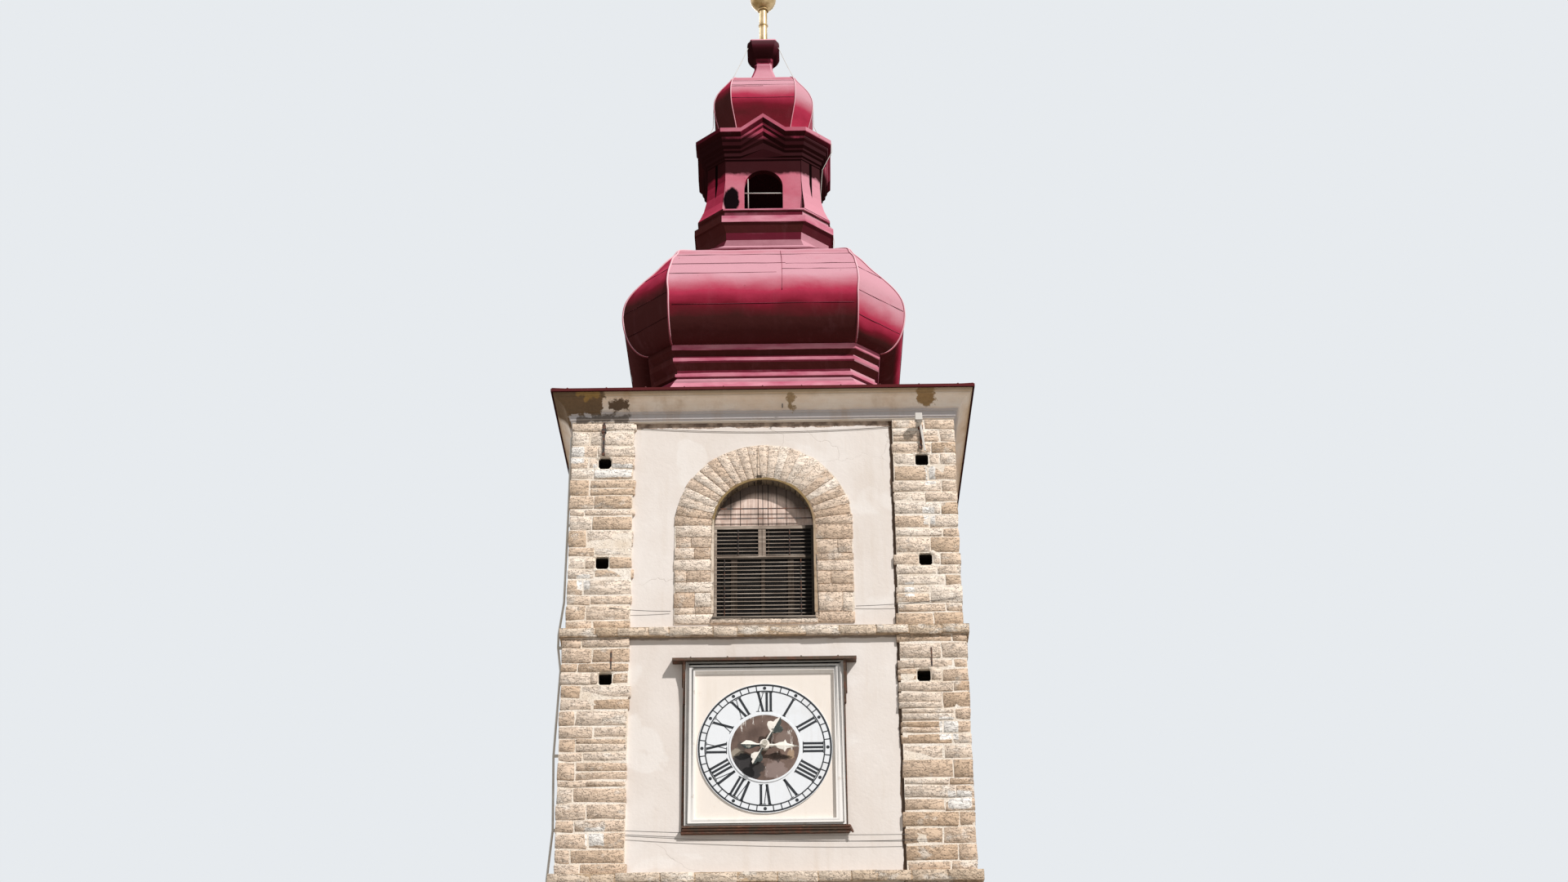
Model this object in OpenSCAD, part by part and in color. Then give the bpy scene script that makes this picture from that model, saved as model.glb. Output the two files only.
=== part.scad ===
// Baroque clock tower: a square masonry shaft with corner piers of bare stone, a coved cornice, and a
// sheet-covered timber roof of two bulbs with an open lantern between them. The front carries the clock.
// Millimetres, +Z up, front towards -Y, origin on the ground at the middle of the plan.

/* [Masonry shaft] */
// Width of the clock storey over its corner piers
tower_w = 7500; // [6800:50:8200]
// Thickness of the walls at the clock storey
wall_t = 1000; // [800:50:1150]
// Width of a corner pier, from the tower's corner to the plaster panel
pier_w = 1240; // [1180:20:1500]
// How far the plaster panels lie behind the stone of the piers
panel_recess = 60; // [30:5:90]
// How much each storey is narrower, on each side, than the one below
setback = 50; // [30:5:80]
// Height of the ground storey, to the top of its string course
ground_h = 6500; // [5500:100:7500]
// Height of the middle storey
middle_h = 6250; // [5500:50:7000]
// Height of the clock storey
clock_h = 4680; // [4500:20:5200]
// Height of the bell storey, up to the cornice
bell_h = 4320; // [4250:10:4800]
// Height of the plinth at the foot of the walls
plinth_h = 900; // [600:50:1200]
// How far the plinth stands out
plinth_out = 100; // [50:10:150]
// Height of a string course
string_h = 170; // [120:10:220]
// How far a string course stands out
string_out = 60; // [40:5:100]
// Thickness of the timber floors
floor_t = 260; // [180:10:320]

/* [Door and slits] */
// Clear width of the doorway
door_w = 1300; // [1000:50:1500]
// Height of the doorway's springing above the ground
door_spring = 2100; // [1900:50:2400]
// Width of the stones around the doorway
door_stone_w = 320; // [200:20:400]
// Depth of the stones around the doorway
door_stone_d = 420; // [350:10:500]
// How far the door leaf lies behind the face of its stones
door_recess = 260; // [180:10:300]
// Thickness of the door leaf
door_t = 80; // [50:5:100]
// Width of the slits in the middle storey
slit_w = 300; // [200:20:400]
// Height of the slits
slit_h = 1200; // [800:50:1500]

/* [Putlog holes] */
// Side of a square putlog hole
putlog_s = 250; // [150:10:300]
// Depth of a putlog hole
putlog_d = 420; // [200:20:600]
// Distance of the putlog holes from the tower's axis, across the face
putlog_x = 3060; // [2900:20:3200]
// How much nearer to the axis the putlog holes of the clock storey are
putlog_shift = 120; // [60:10:180]

/* [Bell windows] */
// Clear width of a bell window
window_w = 1910; // [1600:10:2000]
// Height of the opening's foot above the bell storey's floor line
sill_rise = 190; // [160:10:300]
// Height of the springing above the foot of the opening
window_leg = 1940; // [1700:20:2000]
// Width of the stones around the window
surround_w = 740; // [500:20:760]
// How far the stone surround stands out of the plaster
surround_out = 15; // [5:5:25]
// Depth of the surround's stones in the wall
surround_d = 420; // [360:10:500]
// How far the shutter lies behind the face of the surround
shutter_recess = 180; // [150:10:280]
// Thickness of the shutter
shutter_t = 70; // [50:5:90]
// Height of the sill stone
sill_h = 80; // [60:5:120]
// How far the sill stone stands out of the surround
sill_out = 45; // [20:5:80]

/* [Clock] */
// How far the dial's centre lies below the string course over the clock storey
dial_drop = 2190; // [2100:10:2500]
// Gap between the dial's rim and the frame
dial_margin = 55; // [30:5:120]
// Thickness of the dial
dial_t = 20; // [12:1:30]
// Radius of the dial's centre disc
centre_r = 650; // [500:10:700]
// Thickness of the centre disc
centre_t = 12; // [8:1:20]
// Thickness of the plastered board behind the dial
board_t = 60; // [50:5:90]
// Width over the clock's moulded frame
frame_w = 2910; // [2880:10:3000]
// Width of the frame's side and top members
frame_bar = 180; // [150:10:180]
// Width of the frame's foot member
frame_foot = 110; // [90:5:140]
// Height of the frame
frame_h = 3110; // [3080:10:3200]
// How far the frame's foot lies below the dial's centre
frame_drop = 1450; // [1440:10:1480]
// How far the frame stands out of the wall
frame_out = 130; // [120:5:170]
// Width of the canopy over the clock
canopy_w = 3400; // [3200:20:3600]
// How far the canopy reaches out of the wall
canopy_out = 220; // [200:10:300]
// Rise of the canopy from its front edge to the wall
canopy_rise = 60; // [40:10:100]
// Thickness of the canopy
canopy_t = 50; // [40:5:60]
// Height of the canopy's side cheeks
cheek_h = 800; // [600:20:1000]
// Radius of the fixed arbor that carries the hands
arbor_r = 30; // [22:1:40]
// Radius of the arbor's end cap
arbor_cap_r = 52; // [45:1:60]
// Length of the minute hand, from the arbor to its tip
minute_len = 590; // [520:10:640]
// Length of the hour hand
hour_len = 610; // [520:10:640]
// Thickness of a hand
hand_t = 26; // [12:1:32]
// Radius of a hand's hub
hub_r = 88; // [75:1:100]
// Gap between the dial and the hour hand
hand_stand = 130; // [80:5:150]
// Gap between the two hands, and between the minute hand and the cap
hand_gap = 30; // [12:1:40]
// Clearance all round the arbor in the hands' hubs
arbor_clear = 0.5; // [0.3:0.1:0.9]

/* [Cornice and eaves] */
// Height of the plaster cornice
cornice_h = 500; // [450:10:560]
// How far the eaves stand out of the bell storey
eaves_out = 420; // [400:10:500]
// Thickness of the eaves' metal edge
eaves_edge = 60; // [40:5:90]
// Rise of the eaves roof from its edge to the foot of the dome
eaves_rise = 730; // [700:10:780]

/* [Dome] */
// Half width of the dome's drum
drum_half = 2390; // [2250:10:2450]
// Chamfer of the drum's corners in plan
drum_chamfer = 510; // [400:10:600]
// Height of the drum from the eaves edge to the bulb
drum_h = 1880; // [1800:20:2000]
// Half width of the main bulb at its belly
bulb_half = 2930; // [2800:10:3050]
// Chamfer of the bulb's corners in plan at its belly
bulb_chamfer = 990; // [850:10:1050]
// Height of the belly above the bulb's foot
bulb_low_h = 960; // [850:10:1050]
// Height of the bulb above its belly
bulb_up_h = 1770; // [1650:10:1800]
// Half width of the bulb at its top
bulb_top_half = 1580; // [1550:10:1650]
// Thickness of the boarded and sheeted shells
shell_t = 80; // [60:5:110]

/* [Lantern] */
// Height of the lantern's base
base_h = 1130; // [1100:10:1250]
// Half width of the base's band
base_half = 1510; // [1480:10:1560]
// Half width of the lantern's body
body_half = 1220; // [1150:10:1260]
// Chamfer of the lantern's body in plan
body_chamfer = 390; // [340:10:420]
// Height of the lantern's body
body_h = 1370; // [1300:10:1500]
// Thickness of the lantern's walls
body_t = 170; // [120:10:220]
// Width of the lantern's arched openings
arch_w = 840; // [700:10:880]
// Height of the openings' foot above the lantern's floor
arch_rise = 130; // [100:10:200]
// Height of the openings' springing above their foot
arch_leg = 570; // [450:10:600]
// Half width of the lantern's cornice
hood_half = 1500; // [1450:10:1560]
// Chamfer of the lantern's cornice in plan
hood_chamfer = 560; // [500:10:620]
// Height of the lantern's cornice
hood_h = 690; // [640:10:760]
// Height of the roof between the lantern's cornice and the upper bulb
hood_roof_h = 150; // [100:10:200]
// Rise of the little gables in the cornice
gable_rise = 370; // [250:10:420]
// Half width of the little gables
gable_half = 490; // [400:10:560]

/* [Upper bulb and finial] */
// Half width of the upper bulb at its belly
crown_half = 1105; // [1000:5:1150]
// Chamfer of the upper bulb at its belly
crown_chamfer = 390; // [350:10:440]
// Height of the upper bulb
crown_h = 1940; // [1850:10:2050]
// Height of the slender neck above the upper bulb
neck_h = 550; // [500:10:620]
// Half width of the neck's foot
neck_half = 320; // [280:10:360]
// Half width of the knob above the neck
knob_half = 370; // [330:10:420]
// Height of the knob
knob_h = 610; // [520:10:680]
// Radius of the gilded rod
rod_r = 92; // [60:2:110]
// Length of the rod between the knob and the ball
rod_h = 1040; // [900:10:1150]
// Radius of the gilded ball
ball_r = 300; // [240:5:360]
// Height of the cross above the ball
cross_h = 1350; // [900:10:1600]
// Width of the cross's arms
cross_w = 760; // [500:10:900]
// Thickness of the cross
cross_t = 70; // [40:5:90]

/* [Lightning conductor] */
// Diameter of the down lead
lead_d = 44; // [30:2:60]
// How far the lead stands off the stone
lead_off = 60; // [40:5:100]
// How far the lead lies behind the tower's front corner
lead_in = 320; // [200:10:450]
// How far the lead's upper end lies below the cornice
lead_drop = 150; // [80:10:250]

/* [Hidden] */

stone = [0.78, 0.69, 0.56];
plaster = [0.91, 0.88, 0.84];
crimson = [0.56, 0.13, 0.25];
gilt = [0.75, 0.56, 0.20];
timber = [0.45, 0.36, 0.28];

// A join deep enough for two solids of one node to become one
bite = 4;

// Half widths of the storeys over the piers, and of what lies inside them
clock_half = tower_w / 2;
bell_half = clock_half - setback;
middle_half = clock_half + setback;
ground_half = clock_half + 2 * setback;
in_half = clock_half - wall_t;
panel_half = clock_half - pier_w;

// Heights of the string courses' tops and of the cornice's foot
z1 = ground_h;
z2 = z1 + middle_h;
z3 = z2 + clock_h;
z4 = z3 + bell_h;
storey = [
    [ground_half + plinth_out, 0, plinth_h],
    [ground_half, plinth_h, z1],
    [middle_half, z1, z2],
    [clock_half, z2, z3],
    [bell_half, z3, z4]
];

// Turns a front piece to one of the four sides: 0 front, 1 right, 2 back, 3 left
module side(k) {
    rotate([0, 0, 90 * k]) children();
}

// Stone around the four corners and plaster between them, seen in plan
module storey_outline(half) {
    difference() {
        square(2 * half, center = true);
        for (k = [0:3])
            rotate(90 * k)
                translate([-panel_half, -half - bite])
                    square([2 * panel_half, panel_recess + bite]);
    }
}

// A plain stretch of wall between two piers
module wall_box(half, z_low, z_high) {
    translate([-panel_half, -(half - panel_recess), z_low])
        cube([2 * panel_half, half - panel_recess - in_half, z_high - z_low]);
}

// An opening with a round head, cut along Y: its foot is at z, its springing leg above that
module arched_cut(width, leg, z, y_low, y_high) {
    translate([-width / 2, y_low, z])
        cube([width, y_high - y_low, leg]);
    translate([0, y_high, z + leg])
        rotate([90, 0, 0])
            cylinder(d = width, h = y_high - y_low, $fn = 96);
}

slit_z = z1 + (middle_h - slit_h) / 2;

module lower_wall() {
    difference() {
        union() {
            for (k = [0:2])
                wall_box(storey[k][0], storey[k][1], storey[k][2]);
        }
        translate([-slit_w / 2, -middle_half - bite, slit_z])
            cube([slit_w, wall_t + setback + 2 * bite, slit_h]);
    }
}

door_face_y = -(ground_half + plinth_out);

module lower_front_wall() {
    color(plaster)
        difference() {
            lower_wall();
            arched_cut(door_w, door_spring + bite, -bite, door_face_y, -in_half + bite);
            arched_cut(door_w + 2 * door_stone_w, door_spring + bite, -bite,
                       door_face_y - bite, door_face_y + door_stone_d);
        }
}

module lower_back_wall() {
    color(plaster) side(2) lower_wall();
}

module lower_left_wall() {
    color(plaster) side(3) lower_wall();
}

module lower_right_wall() {
    color(plaster) side(1) lower_wall();
}

module clock_front_wall() {
    color(plaster) wall_box(clock_half, z2, z3);
}

module clock_back_wall() {
    color(plaster) side(2) wall_box(clock_half, z2, z3);
}

module clock_left_wall() {
    color(plaster) side(3) wall_box(clock_half, z2, z3);
}

module clock_right_wall() {
    color(plaster) side(1) wall_box(clock_half, z2, z3);
}

window_foot = z3 + sill_rise;
surround_y = -(bell_half - panel_recess + surround_out);

// The foot of the window's stones, under the sill
surround_foot = window_foot - sill_h;

module bell_wall() {
    difference() {
        wall_box(bell_half, z3, z4);
        arched_cut(window_w, window_leg, window_foot, surround_y + surround_d - bite, -in_half + bite);
        arched_cut(window_w + 2 * surround_w, window_leg + sill_h, surround_foot,
                   surround_y - bite, surround_y + surround_d);
    }
}

module bell_front_wall() {
    color(plaster) bell_wall();
}

module bell_back_wall() {
    color(plaster) side(2) bell_wall();
}

module bell_left_wall() {
    color(plaster) side(3) bell_wall();
}

module bell_right_wall() {
    color(plaster) side(1) bell_wall();
}

// One corner pier, L-shaped in plan so that the room inside stays square
module pier() {
    for (s = storey)
        translate([-s[0], -s[0], s[1]])
            difference() {
                cube([s[0] - panel_half, s[0] - panel_half, s[2] - s[1]]);
                translate([s[0] - in_half, s[0] - in_half, -bite])
                    cube([s[0], s[0], s[2] - s[1] + 2 * bite]);
            }
}

// Middles of the putlog holes of one pier: [distance from the axis, height]
putlog_at = [
    [putlog_x - putlog_shift, z2 + (clock_h - string_h) * 0.82],
    [putlog_x, z3 + bell_h * 0.315],
    [putlog_x, z3 + bell_h * 0.80]
];

// Square holes left by the scaffold poles, on the front and the back
module putlog_cuts() {
    for (p = putlog_at)
        translate([-p[0] - putlog_s / 2, -clock_half - bite, p[1] - putlog_s / 2])
            cube([putlog_s, putlog_d, putlog_s]);
}

module front_left_pier() {
    color(stone)
        difference() {
            pier();
            putlog_cuts();
        }
}

module front_right_pier() {
    color(stone) mirror([1, 0, 0]) front_left_pier();
}

module back_left_pier() {
    color(stone) mirror([0, 1, 0]) front_left_pier();
}

module back_right_pier() {
    color(stone) side(2) front_left_pier();
}

module string_course(half, z_top) {
    translate([0, 0, z_top - string_h])
        linear_extrude(string_h)
            difference() {
                square(2 * (half + string_out), center = true);
                storey_outline(half);
            }
}

module string_courses() {
    color(stone) {
        string_course(ground_half, z1);
        string_course(middle_half, z2);
        string_course(clock_half, z3);
    }
}

module floor_plate(z_top) {
    translate([-in_half, -in_half, z_top - floor_t])
        cube([2 * in_half, 2 * in_half, floor_t]);
}

module ground_floor() {
    color(stone) floor_plate(floor_t);
}

module timber_floors() {
    color(timber) {
        floor_plate(z1);
        floor_plate(z2);
        floor_plate(z3);
    }
}

// The deck over the bell room, level with the top of the cornice
deck_z = z4 + cornice_h;

module roof_deck() {
    color(timber) floor_plate(deck_z);
}

module door_surround() {
    color(stone)
        difference() {
            arched_cut(door_w + 2 * door_stone_w, door_spring, 0,
                       door_face_y, door_face_y + door_stone_d);
            arched_cut(door_w, door_spring + bite, -bite,
                       door_face_y - bite, door_face_y + door_stone_d + bite);
        }
}

module door_leaf() {
    leaf_y = door_face_y + door_recess;
    color(timber)
        difference() {
            arched_cut(door_w, door_spring, 0, leaf_y, leaf_y + door_t);
            for (x = [-1, 1])
                translate([x * door_w / 4, leaf_y, door_spring / 2])
                    cube([door_w / 3, door_t / 2, door_spring * 0.8], center = true);
        }
}

// Jambs and arch of one bell window, with the sill stone across its foot
module window_surround() {
    outer = window_w + 2 * surround_w;
    difference() {
        arched_cut(outer, window_leg + sill_h, surround_foot, surround_y, surround_y + surround_d);
        arched_cut(window_w, window_leg, window_foot, surround_y - bite, surround_y + surround_d + bite);
    }
    translate([-window_w / 2 - sill_out, surround_y - sill_out, surround_foot])
        cube([window_w + 2 * sill_out, sill_out + bite, sill_h]);
}

module window_surrounds() {
    color(stone)
        for (k = [0:3]) side(k) window_surround();
}

module window_shutters() {
    leaf_y = surround_y + shutter_recess;
    color(timber)
        for (k = [0:3])
            side(k) arched_cut(window_w, window_leg, window_foot, leaf_y, leaf_y + shutter_t);
}

// Clock: the wall's face, the dial's height and the planes of the pieces in front of the wall
dial_z = z3 - string_h - dial_drop;
clock_wall_y = -(clock_half - panel_recess);
board_y = clock_wall_y - board_t;
dial_y = board_y - dial_t;
centre_y = dial_y - centre_t;
hour_y = centre_y - hand_stand - hand_t;
minute_y = hour_y - hand_gap - hand_t;
cap_y = minute_y - hand_gap;
frame_foot_z = dial_z - frame_drop;
frame_top_z = frame_foot_z + frame_h;
opening_w = frame_w - 2 * frame_bar;
dial_r = opening_w / 2 - dial_margin;
opening_z = frame_foot_z + frame_foot;
opening_h = frame_h - frame_foot - frame_bar;

module clock_board() {
    color(plaster)
        translate([-opening_w / 2, board_y, opening_z])
            cube([opening_w, board_t, opening_h]);
}

module clock_frame() {
    step_in = frame_bar * 0.35;
    step_out = frame_out - board_t;
    front_y = clock_wall_y - frame_out;
    color(plaster)
        difference() {
            union() {
                translate([-frame_w / 2, front_y + step_out * 0.45, frame_foot_z])
                    cube([frame_w, frame_out - step_out * 0.45, frame_h]);
                translate([-frame_w / 2 + step_in, front_y, frame_foot_z + step_in * 0.5])
                    cube([frame_w - 2 * step_in, frame_out, frame_h - step_in * 1.5]);
            }
            translate([-opening_w / 2, front_y - bite, opening_z])
                cube([opening_w, frame_out + 2 * bite, opening_h]);
        }
}

module clock_canopy() {
    eave_y = clock_wall_y - canopy_out;
    cheek_t = canopy_t * 0.9;
    color([0.29, 0.20, 0.17]) {
        translate([-canopy_w / 2, 0, frame_top_z])
            rotate([90, 0, 90])
                linear_extrude(canopy_w)
                    polygon([
                        [eave_y, 0],
                        [clock_wall_y, 0],
                        [clock_wall_y, canopy_rise + canopy_t],
                        [eave_y, canopy_t]
                    ]);
        for (x = [-frame_w / 2 - cheek_t, frame_w / 2])
            translate([x, 0, frame_top_z])
                rotate([90, 0, 90])
                    linear_extrude(cheek_t)
                        polygon([
                            [clock_wall_y, bite],
                            [clock_wall_y - canopy_out * 0.85, bite],
                            [clock_wall_y - canopy_out * 0.5, -cheek_h * 0.45],
                            [clock_wall_y - canopy_out * 0.35, -cheek_h],
                            [clock_wall_y, -cheek_h]
                        ]);
    }
}

module dial_disc(r, y_front, t) {
    translate([0, y_front + t, dial_z])
        rotate([90, 0, 0])
            cylinder(r = r, h = t, $fn = 96);
}

module clock_dial() {
    color([0.91, 0.93, 0.95]) dial_disc(dial_r, dial_y, dial_t);
}

module dial_centre() {
    color([0.42, 0.34, 0.31]) dial_disc(centre_r, centre_y, centre_t);
}

// The fixed pin that both hands turn on, with a cap over its end and a collar at its foot
module clock_arbor() {
    cap_t = hand_t * 1.5;
    color(gilt) {
        dial_disc(arbor_r, cap_y - cap_t, centre_y - cap_y + cap_t);
        dial_disc(arbor_cap_r, cap_y - cap_t, cap_t);
        dial_disc(hub_r * 0.8, hour_y + hand_t + hand_gap / 2, hand_stand - hand_gap / 2);
    }
}

// Turns a hand, drawn pointing up from the arbor's axis, to its place at rest
module place_hand(angle, y_front) {
    translate([0, y_front + hand_t, dial_z])
        rotate([90, 0, 0])
            rotate([0, 0, -angle])
                linear_extrude(hand_t)
                    difference() {
                        union() {
                            circle(r = hub_r, $fn = 64);
                            children();
                        }
                        circle(r = arbor_r + arbor_clear, $fn = 64);
                    }
}

minute_angle = 30;
hour_angle = 90 + minute_angle / 12;
stem_w = 50;

// A hand's outline from its right side, as [distance from the axis, half width], closed by its mirror image
module mirrored(side) {
    polygon(concat(
        [for (p = side) [p[1], p[0]]],
        [for (k = [len(side) - 1:-1:0]) if (side[k][1] > 0) [-side[k][1], side[k][0]]]
    ));
}

// A pointed head with two lobes, and a three-lobed counterpoise
module minute_outline() {
    l = minute_len;
    w = stem_w / 2;
    mirrored([
        [-hub_r / 2, w], [l * 0.42, w], [l * 0.50, l * 0.16], [l * 0.58, l * 0.25], [l * 0.68, l * 0.27],
        [l * 0.74, l * 0.20], [l * 0.75, l * 0.12], [l * 0.86, l * 0.10], [l, 0]
    ]);
    rotate(180)
        mirrored([
            [-hub_r / 2, w], [l * 0.32, w], [l * 0.38, l * 0.15], [l * 0.48, l * 0.20], [l * 0.57, l * 0.16],
            [l * 0.60, l * 0.08], [l * 0.68, l * 0.07], [l * 0.74, 0]
        ]);
}

// A spearhead with side barbs, and a leaf as its counterpoise
module hour_outline() {
    l = hour_len;
    w = stem_w / 2;
    mirrored([
        [-hub_r / 2, w], [l * 0.30, w], [l * 0.44, l * 0.10], [l * 0.55, l * 0.12], [l * 0.60, l * 0.19],
        [l * 0.66, l * 0.08], [l * 0.80, w], [l, 0]
    ]);
    rotate(180)
        mirrored([
            [-hub_r / 2, w], [l * 0.24, w], [l * 0.42, l * 0.12], [l * 0.56, l * 0.13], [l * 0.72, 0]
        ]);
}

module minute_hand() {
    color([0.93, 0.90, 0.84]) place_hand(minute_angle, minute_y) minute_outline();
}

module hour_hand() {
    color([0.93, 0.90, 0.84]) place_hand(hour_angle, hour_y) hour_outline();
}

// Roof forms are stacks of rings with the same number of points, counter-clockwise seen from above
function flat(lists) = [for (list = lists) each list];

// A ring that is a plain square, or a square with chamfered corners, given as [half width, chamfer, height]
function square_ring(a, z) = [[-a, -a, z], [a, -a, z], [a, a, z], [-a, a, z]];

function chamfered_ring(r) =
    let (a = r[0], b = r[0] - r[1], z = r[2])
    [[-b, -a, z], [b, -a, z], [a, -b, z], [a, b, z], [b, a, z], [-b, a, z], [-a, b, z], [-a, -b, z]];

// Side faces between ring k and ring k + 1 of n points each, counted from a first point
function wall_faces(n, k, first, outward) = [
    for (i = [0:n - 1])
        let (j = (i + 1) % n, low = first + k * n, high = low + n)
        outward ? [low + i, high + i, high + j, low + j] : [low + i, low + j, high + j, high + i]
];

// The ends are plain faces, or fans around the axis where points of the end rings lie in one line
module ring_solid(rings, fans = false) {
    n = len(rings[0]);
    top = len(rings) - 1;
    hub = n * len(rings);
    ends = fans ? [[0, 0, rings[0][0][2]], [0, 0, rings[top][0][2]]] : [];
    polyhedron(
        points = concat(flat(rings), ends),
        faces = concat(
            flat([for (k = [0:top - 1]) wall_faces(n, k, 0, true)]),
            fans ? [for (i = [0:n - 1]) [i, (i + 1) % n, hub]] : [[for (i = [0:n - 1]) i]],
            fans
                ? [for (i = [0:n - 1]) [top * n + (i + 1) % n, top * n + i, hub + 1]]
                : [[for (i = [n - 1:-1:0]) top * n + i]]
        )
    );
}

// A shell between an outer and an inner stack of as many rings, open at its foot and its top
module ring_shell(outer, inner) {
    n = len(outer[0]);
    top = len(outer) - 1;
    size = n * len(outer);
    polyhedron(
        points = concat(flat(outer), flat(inner)),
        faces = concat(
            flat([for (k = [0:top - 1]) wall_faces(n, k, 0, true)]),
            flat([for (k = [0:top - 1]) wall_faces(n, k, size, false)]),
            [for (i = [0:n - 1]) let (j = (i + 1) % n) [i, j, size + j, size + i]],
            [for (i = [0:n - 1]) let (j = (i + 1) % n, t = top * n) [t + i, size + t + i, size + t + j, t + j]]
        )
    );
}

function chamfered(profile) = [for (r = profile) chamfered_ring(r)];

// The inner profile of a shell of thickness t, level with the outer one at both ends
function inset(profile, t) =
    let (top = len(profile) - 1)
    [
        for (k = [0:top])
            let (
                before = profile[max(k - 1, 0)],
                after = profile[min(k + 1, top)],
                run = after[0] - before[0],
                rise = after[2] - before[2],
                slant = sqrt(run * run + rise * rise),
                end = k == 0 || k == top,
                out = end ? 1.15 : rise / slant,
                up = end ? 0 : -run / slant
            )
            [profile[k][0] - t * out, max(profile[k][1] - 0.586 * t * out, 2), profile[k][2] - t * up]
    ];

// Cornice: fillets, a flat band, a cove and the board under the eaves, as [stand-out, height] steps
cornice_steps = [
    [0, 0], [0.06, 0.03], [0.06, 0.07], [0.12, 0.10], [0.13, 0.30], [0.22, 0.33], [0.23, 0.38],
    [0.32, 0.41], [0.36, 0.50], [0.44, 0.60], [0.56, 0.70], [0.70, 0.77], [0.80, 0.80], [0.82, 0.86],
    [0.88, 0.88], [0.90, 1.00]
];

module cornice() {
    outer = [for (s = cornice_steps) square_ring(bell_half + eaves_out * s[0], z4 + cornice_h * s[1])];
    inner = [for (s = cornice_steps) square_ring(in_half, z4 + cornice_h * s[1])];
    color(plaster) ring_shell(outer, inner);
}

eaves_half = bell_half + eaves_out;
drum_foot_z = deck_z + eaves_edge + eaves_rise;

// Gap between the drum's timber wall and the eaves roof around it
drum_lap = 10;

module eaves_roof() {
    foot_half = drum_half;
    color(crimson)
        ring_shell(
            [
                square_ring(eaves_half, deck_z),
                square_ring(eaves_half, deck_z + eaves_edge),
                square_ring(foot_half * 1.05, drum_foot_z)
            ],
            [
                square_ring(foot_half, deck_z),
                square_ring(foot_half, deck_z + eaves_edge),
                square_ring(foot_half, drum_foot_z)
            ]
        );
}

drum_top_z = deck_z + eaves_edge + drum_h;

// Drum: its flashing over the eaves roof and the steps under the bulb, as [stand-in, share of its height]
drum_steps = [
    [-0.080, 0.394], [-0.080, 0.408], [-0.012, 0.470], [0.012, 0.530], [0.030, 0.580], [0.050, 0.618],
    [0.030, 0.628], [0.030, 0.660], [0.046, 0.670], [0.048, 0.714], [0.014, 0.788], [0.010, 0.846],
    [0.020, 0.850], [0.020, 0.868], [0.030, 0.872], [0.000, 0.942], [0.000, 1.000]
];

module dome_drum() {
    foot = [
        [drum_half - drum_lap, drum_chamfer, deck_z],
        [drum_half - drum_lap, drum_chamfer, drum_foot_z]
    ];
    steps = [
        for (s = drum_steps)
            [drum_half * (1 - s[0]), drum_chamfer, deck_z + eaves_edge + drum_h * s[1]]
    ];
    outer = concat(foot, steps);
    inner = [for (r = outer) [drum_half * 0.95 - shell_t, drum_chamfer * 0.8, r[2]]];
    color(crimson) ring_shell(chamfered(outer), chamfered(inner));
}

belly_z = drum_top_z + bulb_low_h;
bulb_top_z = belly_z + bulb_up_h;

// Upper half of the main bulb, as [share of the way in, share of the chamfer, share of the height]
bulb_shoulder = [
    [0, 1, 0], [0.035, 0.93, 0.145], [0.14, 0.79, 0.29], [0.31, 0.57, 0.44], [0.49, 0.34, 0.58],
    [0.645, 0.16, 0.73], [0.765, 0.08, 0.845], [0.837, 0.03, 0.93], [1, 0.05, 1]
];

bulb_profile = concat(
    [
        for (u = [90:-15:15])
            [
                drum_half + (bulb_half - drum_half) * cos(u),
                drum_chamfer + (bulb_chamfer - drum_chamfer) * cos(u),
                belly_z - bulb_low_h * sin(u)
            ]
    ],
    [
        for (s = bulb_shoulder)
            [bulb_half - (bulb_half - bulb_top_half) * s[0], bulb_chamfer * s[1], belly_z + bulb_up_h * s[2]]
    ]
);

module main_bulb() {
    color(crimson) ring_shell(chamfered(bulb_profile), chamfered(inset(bulb_profile, shell_t)));
}

floor_z = bulb_top_z + base_h;

// Lantern base: a flared foot, a hollow skirt, a band and the lantern's floor,
// as [share of the half width, chamfer by the same measure, share of the height]
base_steps = [
    [1.046, 0.278, 0.03], [1.040, 0.397, 0.07], [0.967, 0.404, 0.16], [0.927, 0.397, 0.32], [0.927, 0.391, 0.48],
    [0.980, 0.404, 0.66], [1.000, 0.404, 0.67], [1.000, 0.404, 0.81], [0.934, 0.377, 0.84], [0.927, 0.371, 0.95],
    [0.954, 0.377, 0.97], [0.954, 0.377, 1.00]
];

base_profile = concat(
    [[bulb_top_half, bulb_chamfer * 0.05, bulb_top_z]],
    [for (s = base_steps) [base_half * s[0], base_half * s[1], bulb_top_z + base_h * s[2]]]
);

module lantern_base() {
    color(crimson) ring_solid(chamfered(base_profile));
}

body_top_z = floor_z + body_h;

// One corner pilaster of the lantern, which sweeps outwards at its foot
module lantern_pilaster() {
    inner = body_half - body_t;
    front = body_half - body_chamfer;
    reach = base_half * 0.954;
    steps = [
        [base_half * 0.585, reach, 0],
        [front * 1.07, reach * 0.965, 0.06],
        [front * 1.055, body_half * 1.075, 0.20],
        [front * 1.025, body_half * 1.025, 0.40],
        [front, body_half * 1.012, 0.62],
        [front, body_half * 1.012, 1]
    ];
    ring_solid([
        for (s = steps)
            let (z = floor_z + body_h * s[2])
            [[front - 40, -inner, z], [s[0], -s[1], z], [s[1], -s[0], z], [inner, -front + 40, z]]
    ]);
}

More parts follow.
